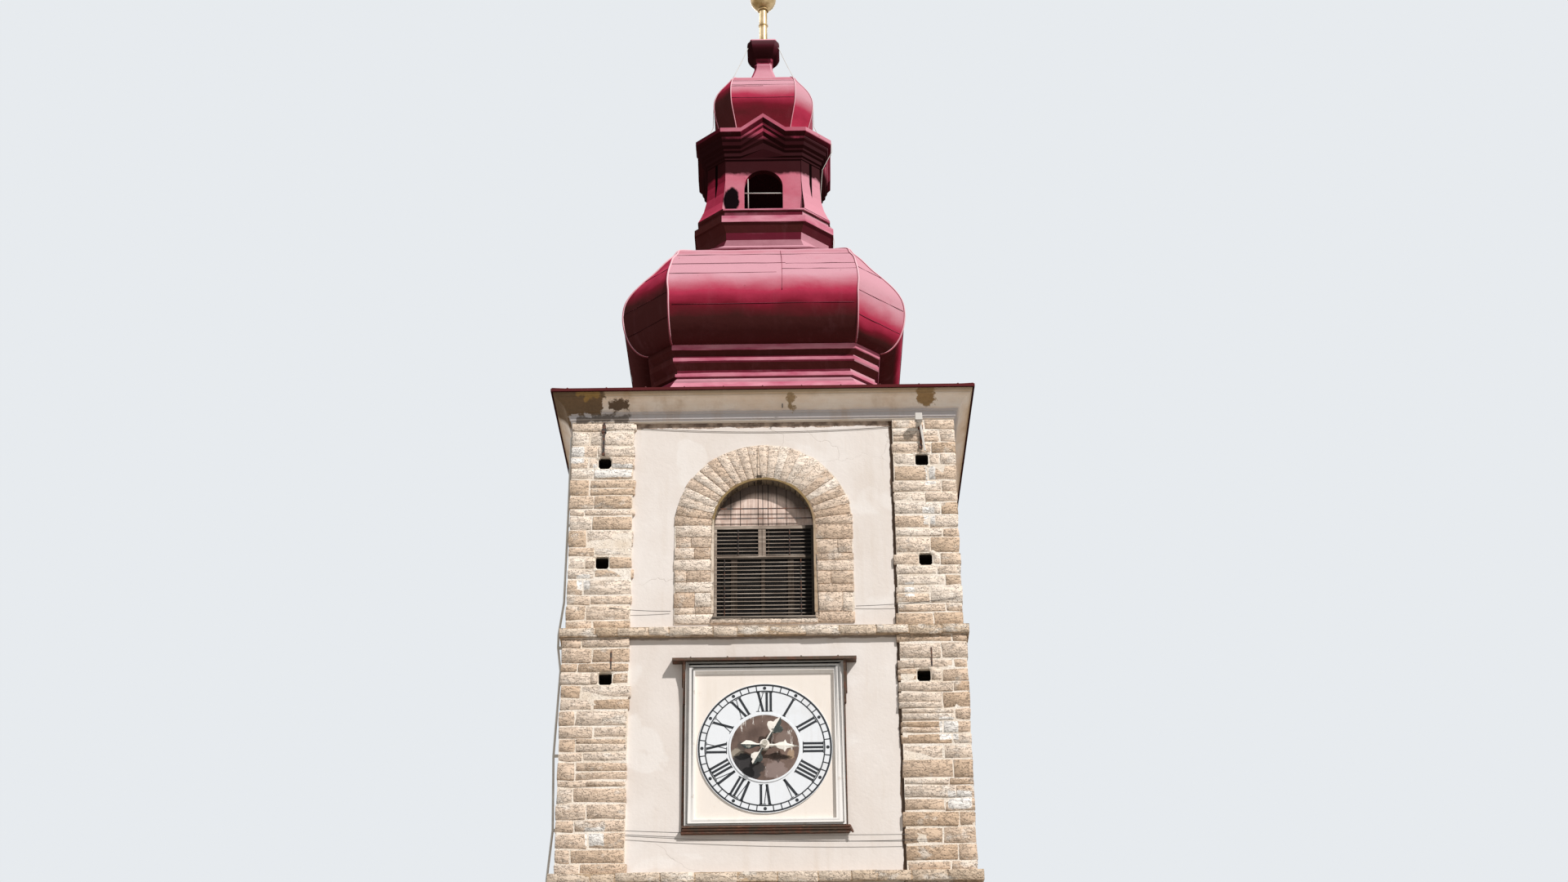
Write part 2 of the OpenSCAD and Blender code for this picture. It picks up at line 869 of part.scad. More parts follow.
module lantern_body() {
    inner = body_half - body_t;
    color(crimson)
        difference() {
            union() {
                translate([0, 0, floor_z])
                    linear_extrude(body_h)
                        polygon([for (p = chamfered_ring([body_half, body_chamfer, 0])) [p[0], p[1]]]);
                for (k = [0:3]) side(k) lantern_pilaster();
            }
            translate([0, 0, floor_z - bite])
                linear_extrude(body_h + 2 * bite)
                    polygon([for (p = chamfered_ring([inner, body_chamfer * 0.75, 0])) [p[0], p[1]]]);
            for (k = [0:1])
                side(k)
                    arched_cut(arch_w, arch_leg, floor_z + arch_rise, -body_half - bite, body_half + bite);
        }
}

// Rings of the lantern's cornice have a gable point in the middle of each side
function gabled_ring(r, rise) =
    let (a = r[0], b = r[0] - r[1], g = gable_half, z = r[2], p = z + rise)
    [
        [-b, -a, z], [-g, -a, z], [0, -a, p], [g, -a, z], [b, -a, z],
        [a, -b, z], [a, -g, z], [a, 0, p], [a, g, z], [a, b, z],
        [b, a, z], [g, a, z], [0, a, p], [-g, a, z], [-b, a, z],
        [-a, b, z], [-a, g, z], [-a, 0, p], [-a, -g, z], [-a, -b, z]
    ];

// Lantern cornice: [share of the stand-out, share of the height, share of the gable's rise]
hood_steps = [
    [0.00, 0.00, 0.0], [0.10, 0.02, 0.0], [0.10, 0.08, 0.0], [0.22, 0.12, 0.5], [0.22, 0.24, 0.7],
    [0.36, 0.30, 0.8], [0.38, 0.36, 0.9], [0.56, 0.44, 1.0], [0.60, 0.56, 1.0], [0.72, 0.64, 1.0],
    [0.75, 0.72, 1.0], [0.98, 0.84, 1.0], [1.00, 0.86, 1.0], [1.00, 1.00, 1.0]
];

hood_top_z = body_top_z + hood_h;
crown_z = hood_top_z + hood_roof_h;
neck_z = crown_z + crown_h;

// Half widths of the upper bulb at its foot and where the gables' ridges meet it
crown_foot_half = crown_half * 0.842;
ridge_half = crown_half * 0.890;

module lantern_cornice() {
    mouldings = [
        for (s = hood_steps)
            gabled_ring(
                [
                    body_half + (hood_half - body_half) * s[0],
                    body_chamfer + (hood_chamfer - body_chamfer) * s[0],
                    body_top_z + hood_h * s[1]
                ],
                gable_rise * s[2]
            )
    ];
    color(crimson)
        ring_solid(concat(
            mouldings,
            [
                gabled_ring([ridge_half, crown_chamfer, crown_z], gable_rise - hood_roof_h),
                gabled_ring([crown_foot_half + 13, crown_chamfer, crown_z], 0)
            ]
        ), fans = true);
}

// Upper bulb: [share of the half width, share of the chamfer, share of the height]
crown_steps = [
    [0.842, 0.923, 0.000], [0.873, 0.923, 0.124], [0.916, 0.954, 0.227], [0.962, 0.987, 0.330], [0.989, 1.000, 0.407],
    [1.000, 1.000, 0.485], [0.988, 0.954, 0.562], [0.941, 0.820, 0.639], [0.890, 0.682, 0.691], [0.824, 0.505, 0.742],
    [0.749, 0.318, 0.794], [0.680, 0.141, 0.845], [0.637, 0.128, 0.897], [0.543, 0.128, 0.933]
];

crown_profile = concat(
    [for (s = crown_steps) [crown_half * s[0], crown_chamfer * s[1], crown_z + crown_h * s[2]]],
    [[neck_half * 1.06, neck_half * 0.16, neck_z]]
);

module upper_bulb() {
    color(crimson) ring_shell(chamfered(crown_profile), chamfered(inset(crown_profile, shell_t)));
}

waist_z = neck_z + neck_h;
knob_top_z = waist_z + knob_h;

// The slender neck, then its ring and the knob, as [share of the half width, chamfer, share of the height]
neck_steps = [
    [1.06, 0.16, 0.00], [0.95, 0.16, 0.13], [0.765, 0.16, 0.45], [0.64, 0.15, 0.73], [0.61, 0.14, 0.96]
];
knob_steps = [
    [0.465, 0.11, 0.00], [0.57, 0.12, 0.04], [0.57, 0.12, 0.18], [0.78, 0.20, 0.34], [0.94, 0.29, 0.52],
    [1.00, 0.30, 0.68], [0.97, 0.25, 0.84], [0.81, 0.08, 0.95], [0.81, 0.08, 1.00]
];

knob_profile = concat(
    [for (s = neck_steps) [neck_half * s[0], neck_half * s[1], neck_z + neck_h * s[2]]],
    [for (s = knob_steps) [knob_half * s[0], knob_half * s[1], waist_z + knob_h * s[2]]]
);

module finial_knob() {
    color(crimson) ring_solid(chamfered(knob_profile));
}

ball_z = knob_top_z + rod_h + ball_r;
rod_sink = 12;

module finial_rod() {
    color(gilt)
        translate([0, 0, knob_top_z]) {
            cylinder(r = rod_r, h = rod_h + rod_sink, $fn = 48);
            cylinder(r = rod_r * 1.35, h = 60, $fn = 48);
        }
}

module finial_ball() {
    color(gilt)
        difference() {
            translate([0, 0, ball_z]) sphere(r = ball_r, $fn = 64);
            translate([0, 0, knob_top_z]) cylinder(r = rod_r, h = rod_h + rod_sink, $fn = 48);
            translate([0, 0, ball_z + ball_r - rod_sink]) cylinder(r = rod_r, h = rod_sink + bite, $fn = 48);
        }
}

// A plain cross on a short stem above the ball
module finial_cross() {
    foot_z = ball_z + ball_r - rod_sink;
    stem = cross_h * 0.2;
    arm_z = foot_z + stem + (cross_h - stem) * 0.62;
    color(gilt) {
        translate([0, 0, foot_z]) cylinder(r = rod_r * 0.8, h = stem, $fn = 48);
        translate([-cross_t / 2, -cross_t / 2, foot_z + stem - bite])
            cube([cross_t, cross_t, cross_h - stem + bite]);
        translate([-cross_w / 2, -cross_t / 2, arm_z - cross_t / 2])
            cube([cross_w, cross_t, cross_t]);
    }
}

// Down lead on the left side of the front corner, from the cornice to just above the ground
lead_foot_z = 300;
lead_top_z = z4 - lead_drop;
lead_y = -(bell_half - lead_in);

// The lead passes the plinth and the string courses on its way: [height, distance from the axis]
function past(half, z_low, z_high) = [
    [z_low - 3 * string_h, half + lead_off],
    [z_low - string_h / 3, half + string_out + lead_off],
    [z_high + string_h / 4, half + string_out + lead_off]
];

lead_line = concat(
    [
        [lead_foot_z, storey[0][0] + lead_off],
        [plinth_h * 1.05, storey[0][0] + lead_off],
        [plinth_h * 1.6, ground_half + lead_off]
    ],
    past(ground_half, z1 - string_h, z1),
    [[z1 + middle_h * 0.08, middle_half + lead_off]],
    past(middle_half, z2 - string_h, z2),
    [
        [z2 + clock_h * 0.2, clock_half + lead_off * 1.6],
        [z2 + clock_h * 0.5, clock_half + lead_off * 2.2]
    ],
    past(clock_half, z3 - string_h, z3),
    [
        [z3 + bell_h * 0.16, bell_half + lead_off * 1.5],
        [z3 + bell_h * 0.53, bell_half + lead_off * 1.2],
        [lead_top_z, bell_half + lead_off]
    ]
);

// Outer face of the pier beside the lead
function pier_face(z) =
    z > z3 ? bell_half : z > z2 ? clock_half : z > z1 ? middle_half : z > plinth_h ? ground_half : storey[0][0];

module lead_bracket(p) {
    face = pier_face(p[0]);
    translate([-p[1], lead_y - 20, p[0] - 25])
        cube([p[1] - face, 40, 50]);
}

module lightning_lead() {
    color([0.85, 0.85, 0.83]) {
        ring_solid([
            for (p = lead_line)
                [for (i = [0:7]) [-p[1] + lead_d / 2 * cos(45 * i), lead_y + lead_d / 2 * sin(45 * i), p[0]]]
        ]);
        for (k = [0, 3, 6, 7, 10, 11, 13, 16, 17, len(lead_line) - 1])
            lead_bracket(lead_line[k]);
    }
}

lower_front_wall();
lower_back_wall();
lower_left_wall();
lower_right_wall();
clock_front_wall();
clock_back_wall();
clock_left_wall();
clock_right_wall();
bell_front_wall();
bell_back_wall();
bell_left_wall();
bell_right_wall();
front_left_pier();
front_right_pier();
back_left_pier();
back_right_pier();
string_courses();
ground_floor();
timber_floors();
roof_deck();
door_surround();
door_leaf();
window_surrounds();
window_shutters();
clock_board();
clock_frame();
clock_canopy();
clock_dial();
dial_centre();
clock_arbor();
minute_hand();
hour_hand();
cornice();
eaves_roof();
dome_drum();
main_bulb();
lantern_base();
lantern_body();
lantern_cornice();
upper_bulb();
finial_knob();
finial_rod();
finial_ball();
finial_cross();
lightning_lead();
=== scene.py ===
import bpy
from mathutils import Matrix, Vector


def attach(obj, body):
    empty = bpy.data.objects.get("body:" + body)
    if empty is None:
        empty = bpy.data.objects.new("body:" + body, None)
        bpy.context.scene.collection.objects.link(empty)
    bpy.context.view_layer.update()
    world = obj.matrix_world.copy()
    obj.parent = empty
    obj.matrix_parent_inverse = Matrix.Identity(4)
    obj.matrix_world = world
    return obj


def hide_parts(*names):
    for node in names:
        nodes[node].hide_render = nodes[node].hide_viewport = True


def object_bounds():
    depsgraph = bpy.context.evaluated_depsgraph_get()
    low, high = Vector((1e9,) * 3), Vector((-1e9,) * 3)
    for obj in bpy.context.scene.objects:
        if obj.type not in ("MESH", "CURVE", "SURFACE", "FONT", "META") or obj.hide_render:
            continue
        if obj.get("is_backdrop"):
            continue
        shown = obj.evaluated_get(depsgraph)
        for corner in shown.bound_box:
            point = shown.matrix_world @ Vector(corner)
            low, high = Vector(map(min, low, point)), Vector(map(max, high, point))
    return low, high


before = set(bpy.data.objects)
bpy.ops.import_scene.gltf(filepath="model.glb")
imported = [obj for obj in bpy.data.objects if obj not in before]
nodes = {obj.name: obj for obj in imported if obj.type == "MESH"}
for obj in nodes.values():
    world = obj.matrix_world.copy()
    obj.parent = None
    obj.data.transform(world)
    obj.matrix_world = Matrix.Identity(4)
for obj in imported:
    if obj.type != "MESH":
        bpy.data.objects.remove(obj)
cad_box = [list(corner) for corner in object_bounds()]

import math
import random

import bmesh
import bpy
from mathutils import Matrix, Vector, noise

scene = bpy.context.scene
scene.view_settings.view_transform = "Standard"

# The view of a person who stands 40 metres in front of the clock and looks up at the upper storeys and the
# roof: the eye is 1.6 metres above the ground, and the camera is held a little askew.
eye = Vector((0.609, -43.437, 1.6))
yaw, pitch, roll = (math.radians(a) for a in (-0.296, 26.389, -0.588))
ahead = Vector((math.sin(yaw) * math.cos(pitch), math.cos(yaw) * math.cos(pitch), math.sin(pitch)))
level = Vector((math.cos(yaw), -math.sin(yaw), 0))
upright = level.cross(ahead)
right = math.cos(roll) * level + math.sin(roll) * upright
up = math.cos(roll) * upright - math.sin(roll) * level
camera = bpy.data.objects.new("camera", bpy.data.cameras.new("camera"))
camera.data.sensor_width = 36
camera.data.lens = 52.5
camera.data.clip_end = 2000
camera.matrix_world = Matrix.Translation(eye) @ Matrix((right, up, -ahead)).transposed().to_4x4()
scene.collection.objects.link(camera)
scene.camera = camera

# A pale floor that runs out of sight, under soft light: a broad lamp high on the right in front, two weak ones
# for the sides turned away from it, and an even pale surround.
lamps = [
    ("high_lamp", (0.478, -0.569, 0.669), 3.8, 2.0, (1.0, 0.97, 0.94)),
    ("left_lamp", (-0.80, 0.10, 0.40), 0.75, 40.0, (0.95, 0.97, 1.0)),
    ("back_lamp", (-0.10, 0.85, 0.50), 1.6, 40.0, (0.97, 0.98, 1.0)),
]
for name, towards, strength, spread, tint in lamps:
    lamp = bpy.data.objects.new(name, bpy.data.lights.new(name, "SUN"))
    lamp.data.energy = strength
    lamp.data.angle = math.radians(spread)
    lamp.data.color = tint
    lamp.matrix_world = Vector(towards).to_track_quat("Z", "Y").to_matrix().to_4x4()
    scene.collection.objects.link(lamp)


def add(tree, kind, inputs=None, **settings):
    """One shader node, with its settings, and with its inputs given as values or as other nodes' outputs."""
    made = tree.nodes.new("ShaderNode" + kind)
    for key, value in settings.items():
        setattr(made, key, value)
    for key, value in (inputs or {}).items():
        if isinstance(value, bpy.types.NodeSocket):
            tree.links.new(value, made.inputs[key])
        else:
            made.inputs[key].default_value = value
    return made


def maths(operation):
    """A shader sum of one kind, as a function of the tree and of the values that go in."""
    def work(tree, *values):
        return add(tree, "Math", dict(enumerate(values)), operation=operation).outputs[0]
    return work


greater = maths("MAXIMUM")


def seen_directly(tree):
    """1 where the camera, a reflection or a look through glass meets the surface, and 0 for its light."""
    path = add(tree, "LightPath").outputs
    return greater(tree, path["Is Camera Ray"],
                   greater(tree, path["Is Glossy Ray"], path["Is Transmission Ray"]))


floor_mesh = bmesh.new()
bmesh.ops.create_circle(floor_mesh, cap_ends=True, segments=96, radius=300)
bmesh.ops.translate(floor_mesh, verts=floor_mesh.verts, vec=(0, 0, -0.004))
floor = bpy.data.objects.new("floor", bpy.data.meshes.new("floor"))
floor_mesh.to_mesh(floor.data)
floor_mesh.free()
scene.collection.objects.link(floor)
floor_finish = bpy.data.materials.new("floor_finish")
floor.data.materials.append(floor_finish)
surround = bpy.data.worlds.new("surround")
scene.world = surround
for holder, output, kind, light, look in (
        (surround, "OutputWorld", "Background", {"Color": (0.90, 0.95, 1.0, 1), "Strength": 0.42},
         {"Color": (0.80, 0.83, 0.86, 1), "Strength": 1.0}),
        (floor_finish, "OutputMaterial", "BsdfDiffuse", {"Color": (0.31, 0.285, 0.25, 1)},
         {"Color": (0.56, 0.56, 0.55, 1)})):
    holder.use_nodes = True
    tree = holder.node_tree
    tree.nodes.clear()
    cast, shown_as = (add(tree, kind, inputs).outputs[0] for inputs in (light, look))
    either = add(tree, "MixShader", {0: seen_directly(tree), 1: cast, 2: shown_as})
    add(tree, output, {"Surface": either.outputs[0]})
floor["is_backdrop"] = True

# Corner piers: courses of squared stone in wide lime joints, each pier with stones of its own. The packed
# pier is the core and the mortar between the stones, and the stones stand a finger's width out of it.
dice = random.Random(7)
noise.seed_set(7)
panel_edge, joint, hole_half = 2.51, 0.011, 0.125
# Half the tower's width at the piers, and the foot and top of each storey
storeys = [(3.95, 0.0, 0.9), (3.85, 0.9, 6.33), (3.80, 6.5, 12.58), (3.75, 12.75, 17.26), (3.70, 17.43, 21.75)]
pole_holes = [(2.94, 16.448), (3.06, 18.791), (3.06, 20.886)]


def shade(code):
    """A colour written as it looks, such as C9AE8C, in the linear values that a shader takes."""
    parts = [int(code[i:i + 2], 16) / 255 for i in (0, 2, 4)]
    return tuple(p / 12.92 if p <= 0.04045 else ((p + 0.055) / 1.055) ** 2.4 for p in parts) + (1.0,)


def blend(tree, share, low, high):
    """A colour between two others, each given as a code or as another node's output."""
    low, high = (shade(colour) if isinstance(colour, str) else colour for colour in (low, high))
    return add(tree, "Mix", {0: share, 6: low, 7: high}, data_type="RGBA", clamp_factor=True).outputs[2]


def spread(tree, value, low, high, to_low=0.0, to_high=1.0):
    """A value stretched from one range to another, and held at its ends."""
    ends = {"From Min": low, "From Max": high, "To Min": to_low, "To Max": to_high}
    return add(tree, "MapRange", {"Value": value} | ends).outputs[0]


def place(tree, stretch=(1, 1, 1), move=(0, 0, 0)):
    """The point on the piece, in metres from the middle of the tower's foot."""
    where = add(tree, "TexCoord").outputs["Object"]
    return add(tree, "Mapping", {"Vector": where, "Scale": stretch, "Location": move}).outputs[0]


def axes(tree, point=None):
    """The X, Y and Z of a point, or of the point on the piece where none is given."""
    return add(tree, "SeparateXYZ", {0: point or place(tree)}).outputs


def speckle(tree, where, scale, detail=4.0, rough=0.55, twist=0.0):
    """An uneven value round a half, in soft blots of about a metre over scale."""
    return add(tree, "TexNoise", {"Vector": where, "Scale": scale, "Detail": detail, "Roughness": rough,
                                  "Distortion": twist}).outputs["Fac"]


plus, minus, times = maths("ADD"), maths("SUBTRACT"), maths("MULTIPLY")
times_plus, size_of = maths("MULTIPLY_ADD"), maths("ABSOLUTE")


def new_effect(name, numbers, results):
    """An empty node group that takes a point and some numbers: its tree, its inputs and its output node."""
    tree = bpy.data.node_groups.new(name, "ShaderNodeTree")
    tree.interface.new_socket("Where", in_out="INPUT", socket_type="NodeSocketVector")
    for key in numbers:
        tree.interface.new_socket(key, in_out="INPUT", socket_type="NodeSocketFloat")
    for key in results:
        tree.interface.new_socket(key, in_out="OUTPUT", socket_type="NodeSocketFloat")
    return tree, tree.nodes.new("NodeGroupInput").outputs, tree.nodes.new("NodeGroupOutput")


# Rough surface of stone and old plaster: broad swellings, grit and small pits
grit, taken, given = new_effect("grit", ("Size", "Pits"), ("Height", "Tone"))
broad = speckle(grit, taken["Where"], taken["Size"], 5, 0.6)
fine = speckle(grit, taken["Where"], times(grit, taken["Size"], 9.0), 3, 0.6)
pits = add(grit, "TexVoronoi",
           {"Vector": taken["Where"], "Scale": times(grit, taken["Size"], 5.0)}).outputs["Distance"]
depth = times(grit, spread(grit, pits, 0.08, 0.30), taken["Pits"])
grit.links.new(plus(grit, times_plus(grit, fine, 0.35, broad), depth), given.inputs["Height"])
grit.links.new(plus(grit, fine, broad), given.inputs["Tone"])

# Rain: narrow streaks that run down the wall, broken by the wall's own unevenness
streaks, taken, given = new_effect("streaks", ("Narrow",), ("Mask",))
run = add(streaks, "VectorMath", {0: taken["Where"], 1: (1.0, 1.0, 0.07)}, operation="MULTIPLY").outputs[0]
lines = spread(streaks, speckle(streaks, run, taken["Narrow"], 4, 0.65), 0.50, 0.74)
breaks = spread(streaks, speckle(streaks, taken["Where"], 0.9, 3, 0.5), 0.40, 0.62)
streaks.links.new(times(streaks, lines, breaks), given.inputs["Mask"])


def gritty(tree, size, pits):
    """The grit of a surface, as its height and its tone."""
    return add(tree, "Group", {"Where": place(tree), "Size": size, "Pits": pits}, node_tree=grit).outputs


def rained(tree, colour, narrow, share, code):
    """That colour with streaks of another one in it."""
    mask = add(tree, "Group", {"Where": place(tree), "Narrow": narrow}, node_tree=streaks).outputs["Mask"]
    return blend(tree, times(tree, mask, share), colour, code)


def finish_of(name, build, coat=0.0, specular=0.3, metal=0.0):
    """A material whose colour, roughness and height are put together by the function that is given."""
    material = bpy.data.materials.new(name)
    material.use_nodes = True
    tree = material.node_tree
    tree.nodes.clear()
    colour, rough, height, amount = build(tree)
    bump = add(tree, "Bump", {"Height": height, "Distance": amount, "Strength": 1.0}).outputs[0]
    shader = add(tree, "BsdfPrincipled", {
        "Base Color": colour, "Roughness": rough, "Normal": bump, "Metallic": metal,
        "Specular IOR Level": specular, "Coat Weight": coat, "Coat Roughness": 0.1})
    add(tree, "OutputMaterial", {"Surface": shader.outputs[0]})
    return material


def from_middle(tree, pick=greater):
    """How far a point lies out from the tower's middle, along X or along Y, whichever is picked."""
    parts = axes(tree)
    return pick(tree, size_of(tree, parts["X"]), size_of(tree, parts["Y"]))


def lime_mortar(tree):
    """Lime mortar in the joints: pale, browner where it is rough, and painted black as shade on the inside of
    the tower and deep in its pole holes.
    """
    rough = gritty(tree, 7.0, 0.6)
    colour = blend(tree, spread(tree, speckle(tree, place(tree), 1.7, 4), 0.35, 0.65), "EADBC9", "F9F0E5")
    colour = blend(tree, spread(tree, rough["Tone"], 1.10, 1.35, 0, 0.55), colour, "A98D70")
    # Painted shade: near black wherever the point lies inside the tower's outer faces, as in the pole holes.
    colour = blend(tree, spread(tree, from_middle(tree), 3.60, 3.66, 1, 0), colour, "20160F")
    return colour, 0.92, rough["Height"], 0.022


def torn_box(tree, torn, x0, x1, z0, z1):
    """How far a point lies outside an upright box with torn edges."""
    parts = axes(tree)
    gaps = [minus(tree, size_of(tree, minus(tree, parts[axis], (low + high) / 2)), (high - low) / 2)
            for axis, low, high in (("X", x0, x1), ("Z", z0, z1))]
    return plus(tree, greater(tree, *gaps), torn)


def bare_stone(dark, mid, light, lime, patches=()):
    """Weathered sandstone: each block has its own tone, faint beds, and remains of limewash and soot."""
    def build(tree):
        own = add(tree, "Attribute", attribute_name="tone", attribute_type="GEOMETRY").outputs["Fac"]
        rough = gritty(tree, 5.0, 0.7)
        beds = speckle(tree, place(tree, (0.5, 0.5, 6.0)), 3.0, 4, 0.6, 0.4)
        parts = axes(tree)
        colour = blend(tree, spread(tree, own, 0.0, 0.45), dark, mid)
        colour = blend(tree, spread(tree, own, 0.45, 1.0), colour, light)
        colour = blend(tree, spread(tree, beds, 0.38, 0.68, 0, 0.33), colour, dark)
        colour = blend(tree, spread(tree, rough["Tone"], 0.92, 0.62, 0, 0.60), colour, "94765A")
        colour = blend(tree, spread(tree, parts["Z"], 17.2, 17.7, 0.22, 0.0), colour, "A98665")
        wash = speckle(tree, place(tree, (1, 1, 1.6), (3, 1, 2)), 2.2, 6, 0.62)
        wash = spread(tree, wash, 0.56, 0.64, 0, lime)
        colour = blend(tree, wash, colour, "F1E8DD")
        torn = times_plus(tree, speckle(tree, place(tree), 5.0, 6, 0.66), 0.12, -0.075)
        front = spread(tree, parts["Y"], -3.66, -3.69)
        for patch in patches:
            limed = spread(tree, torn_box(tree, torn, *patch), 0.012, -0.004, 0, 0.96)
            colour = blend(tree, times(tree, limed, front), colour, "FBF6F0")
        bend = speckle(tree, place(tree, (1.4, 1.4, 5.0), (2, 8, 1)), 2.6, 6, 0.72)
        split = spread(tree, size_of(tree, minus(tree, bend, 0.5)), 0.0, 0.010, 0.75, 0)
        colour = rained(tree, blend(tree, split, colour, "6B5038"), 5.0, 0.30, "6F5A47")
        height = times_plus(tree, wash, -0.4, times_plus(tree, split, -0.5, rough["Height"]))
        return colour, 0.9, height, 0.034
    return build


mortar_finish = finish_of("lime_mortar", lime_mortar)
pier_patches = ((-3.26, -2.55, 20.585, 20.84), (-3.505, -3.30, 18.26, 18.53), (3.14, 3.29, 20.36, 20.74),
                (3.07, 3.24, 19.53, 19.84), (2.66, 2.80, 18.05, 18.30), (-3.70, -3.48, 20.90, 21.25),
                (-3.2, -2.9, 13.3, 13.6), (3.2, 3.5, 15.2, 15.6), (3.3, 3.7, 13.9, 14.2))
stone_finish = finish_of("pier_stone", bare_stone("D6BBA0", "F1DBC6", "FCEFE1", 0.6, pier_patches))


def clothe(node, material):
    """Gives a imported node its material."""
    nodes[node].data.materials.clear()
    nodes[node].data.materials.append(material)


def shown(name, mesh, *materials, slot, body="tower", smooth=False, stands_for=()):
    """Makes a mesh an object that rides on a body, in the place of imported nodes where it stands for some."""
    item = bpy.data.objects.new(name, bpy.data.meshes.new(name))
    mesh.normal_update()
    mesh.to_mesh(item.data)
    mesh.free()
    if smooth:
        item.data.shade_smooth()
    scene.collection.objects.link(item)
    for material in materials:
        item.data.materials.append(material)
    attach(item, body)
    if stands_for:
        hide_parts(*stands_for)


def new_stones():
    """An empty mesh whose corners also hold the tone of their stone."""
    mesh = bmesh.new()
    mesh.verts.layers.float.new("tone")
    return mesh


def block(mesh, low, high, shake=0.0, tone=None):
    """A squared block between two corners, its own corners knocked out of true by up to shake."""
    lo = [min(a, b) for a, b in zip(low, high)]
    hi = [max(a, b) for a, b in zip(low, high)]
    verts = bmesh.ops.create_cube(mesh, size=1)["verts"]
    for v in verts:
        v.co = Vector([lo[i] + (hi[i] - lo[i]) * (v.co[i] + 0.5) + dice.uniform(-shake, shake)
                       for i in range(3)])
        if tone is not None:
            v[mesh.verts.layers.float["tone"]] = tone
    return verts


def worn(mesh, by, longer=0.0, edges=None, segments=1):
    """Rounds the edges off, as wear does: those that are given, or all that are longer than a length."""
    edges = edges or [e for e in mesh.edges if e.calc_length() > longer]
    bmesh.ops.bevel(mesh, geom=edges, offset=by, offset_type="OFFSET", segments=segments, profile=0.5,
                    affect="EDGES", material=-1, clamp_overlap=True)


def ragged(mesh, by, grain, long=0.16):
    """Breaks up the long straight edges of hewn stones, with one cut in each and every corner knocked about."""
    bmesh.ops.subdivide_edges(mesh, edges=[e for e in mesh.edges if e.calc_length() > long], cuts=1,
                              use_grid_fill=True)
    for v in mesh.verts:
        v.co += noise.noise_vector(v.co * grain) * by


def outward(mesh, faces=None):
    """Turns the faces' fronts out."""
    bmesh.ops.recalc_face_normals(mesh, faces=faces or mesh.faces[:])


def swing(mesh, verts, angle, axis):
    """Turns those corners about a line through the middle."""
    bmesh.ops.rotate(mesh, verts=verts, cent=(0, 0, 0), matrix=Matrix.Rotation(angle, 3, axis))


def course_heights(low, high, holes):
    """The beds of a storey's courses, with one course at each scaffold hole."""
    marks = [low]
    for z in holes:
        if low < z < high:
            marks += [z - hole_half, z + hole_half]
    marks.append(high)
    beds = [low]
    for a, b in zip(marks, marks[1:]):
        count = max(1, round((b - a) / 0.262))
        cuts = sorted(a + (b - a) * (k + dice.uniform(-0.30, 0.30)) / count for k in range(1, count))
        beds += cuts + [b]
    return beds


def lengths(start, end, typical):
    """Where the upright joints of a course fall."""
    count = max(1, round((end - start) / typical))
    cuts = [start + (end - start) * (k + dice.uniform(-0.22, 0.22)) / count for k in range(1, count)]
    return [start] + cuts + [end]


def pier_stones(name, sx, sy):
    """The stones of one pier in one storey, course over course."""
    mesh = new_stones()
    for half, z_low, z_high in storeys:
        holes = [(x, z) for x, z in pole_holes if z_low < z < z_high]
        beds = course_heights(z_low, z_high, [z for x, z in holes])
        for k, (z0, z1) in enumerate(zip(beds, beds[1:])):
            taken_out = [(x - hole_half, x + hole_half) for x, z in holes if z0 < z < z1]
            corner = [dice.uniform(0.42, 0.62), dice.uniform(0.26, 0.38)]
            if k % 2:
                corner.reverse()
            for lo, hi in taken_out:
                corner[0] = min(corner[0], half - hi)
            near = half + dice.uniform(0.006, 0.018)
            block(mesh, (sx * (half - corner[0] + joint), sy * near, z0 + joint),
                  (sx * near, sy * (half - corner[1] + joint), z1 - joint), 0.009, dice.random())
            for face in (0, 1):
                edge = panel_edge - dice.choice((0.0, 0.0, 0.015, 0.035, 0.06))
                cuts = lengths(half - corner[face], edge, dice.uniform(0.27, 0.52))
                for a, b in zip(cuts, cuts[1:]):
                    pieces = [(a, b)]
                    for lo, hi in (taken_out if face == 0 else []):
                        split = [[(s, e)] if s <= lo or e >= hi else [(s, hi), (lo, e)] for s, e in pieces]
                        pieces = [(s, e) for s, e in sum(split, []) if s - e > 0.07]
                    for s, e in pieces:
                        out = dice.uniform(0.002, 0.020)
                        back = half - (0.05 if e > panel_edge + 0.01 else 0.062)
                        outer = [s - joint, half + out]
                        inner = [e + joint, back]
                        foot, top = z0 + joint + dice.uniform(0, 0.012), z1 - joint - dice.uniform(0, 0.012)
                        if outer[0] - inner[0] < 0.04:
                            continue
                        if face:
                            outer.reverse()
                            inner.reverse()
                        beds_in = [foot, top]
                        if top - foot > 0.20 and dice.random() < 0.22:
                            beds_in.insert(1, foot + (top - foot) * dice.uniform(0.35, 0.65))
                        for low, high in zip(beds_in, beds_in[1:]):
                            rise = joint if low > foot else 0.0
                            block(mesh, (sx * outer[0], sy * outer[1], low + rise),
                                  (sx * inner[0], sy * inner[1], high), 0.008, dice.random())
    worn(mesh, 0.013)
    ragged(mesh, 0.014, 4.5)
    for v in mesh.verts:
        v.co.z = max(v.co.z, 0.0)
    shown(name, mesh, stone_finish, slot="stone", smooth=True)


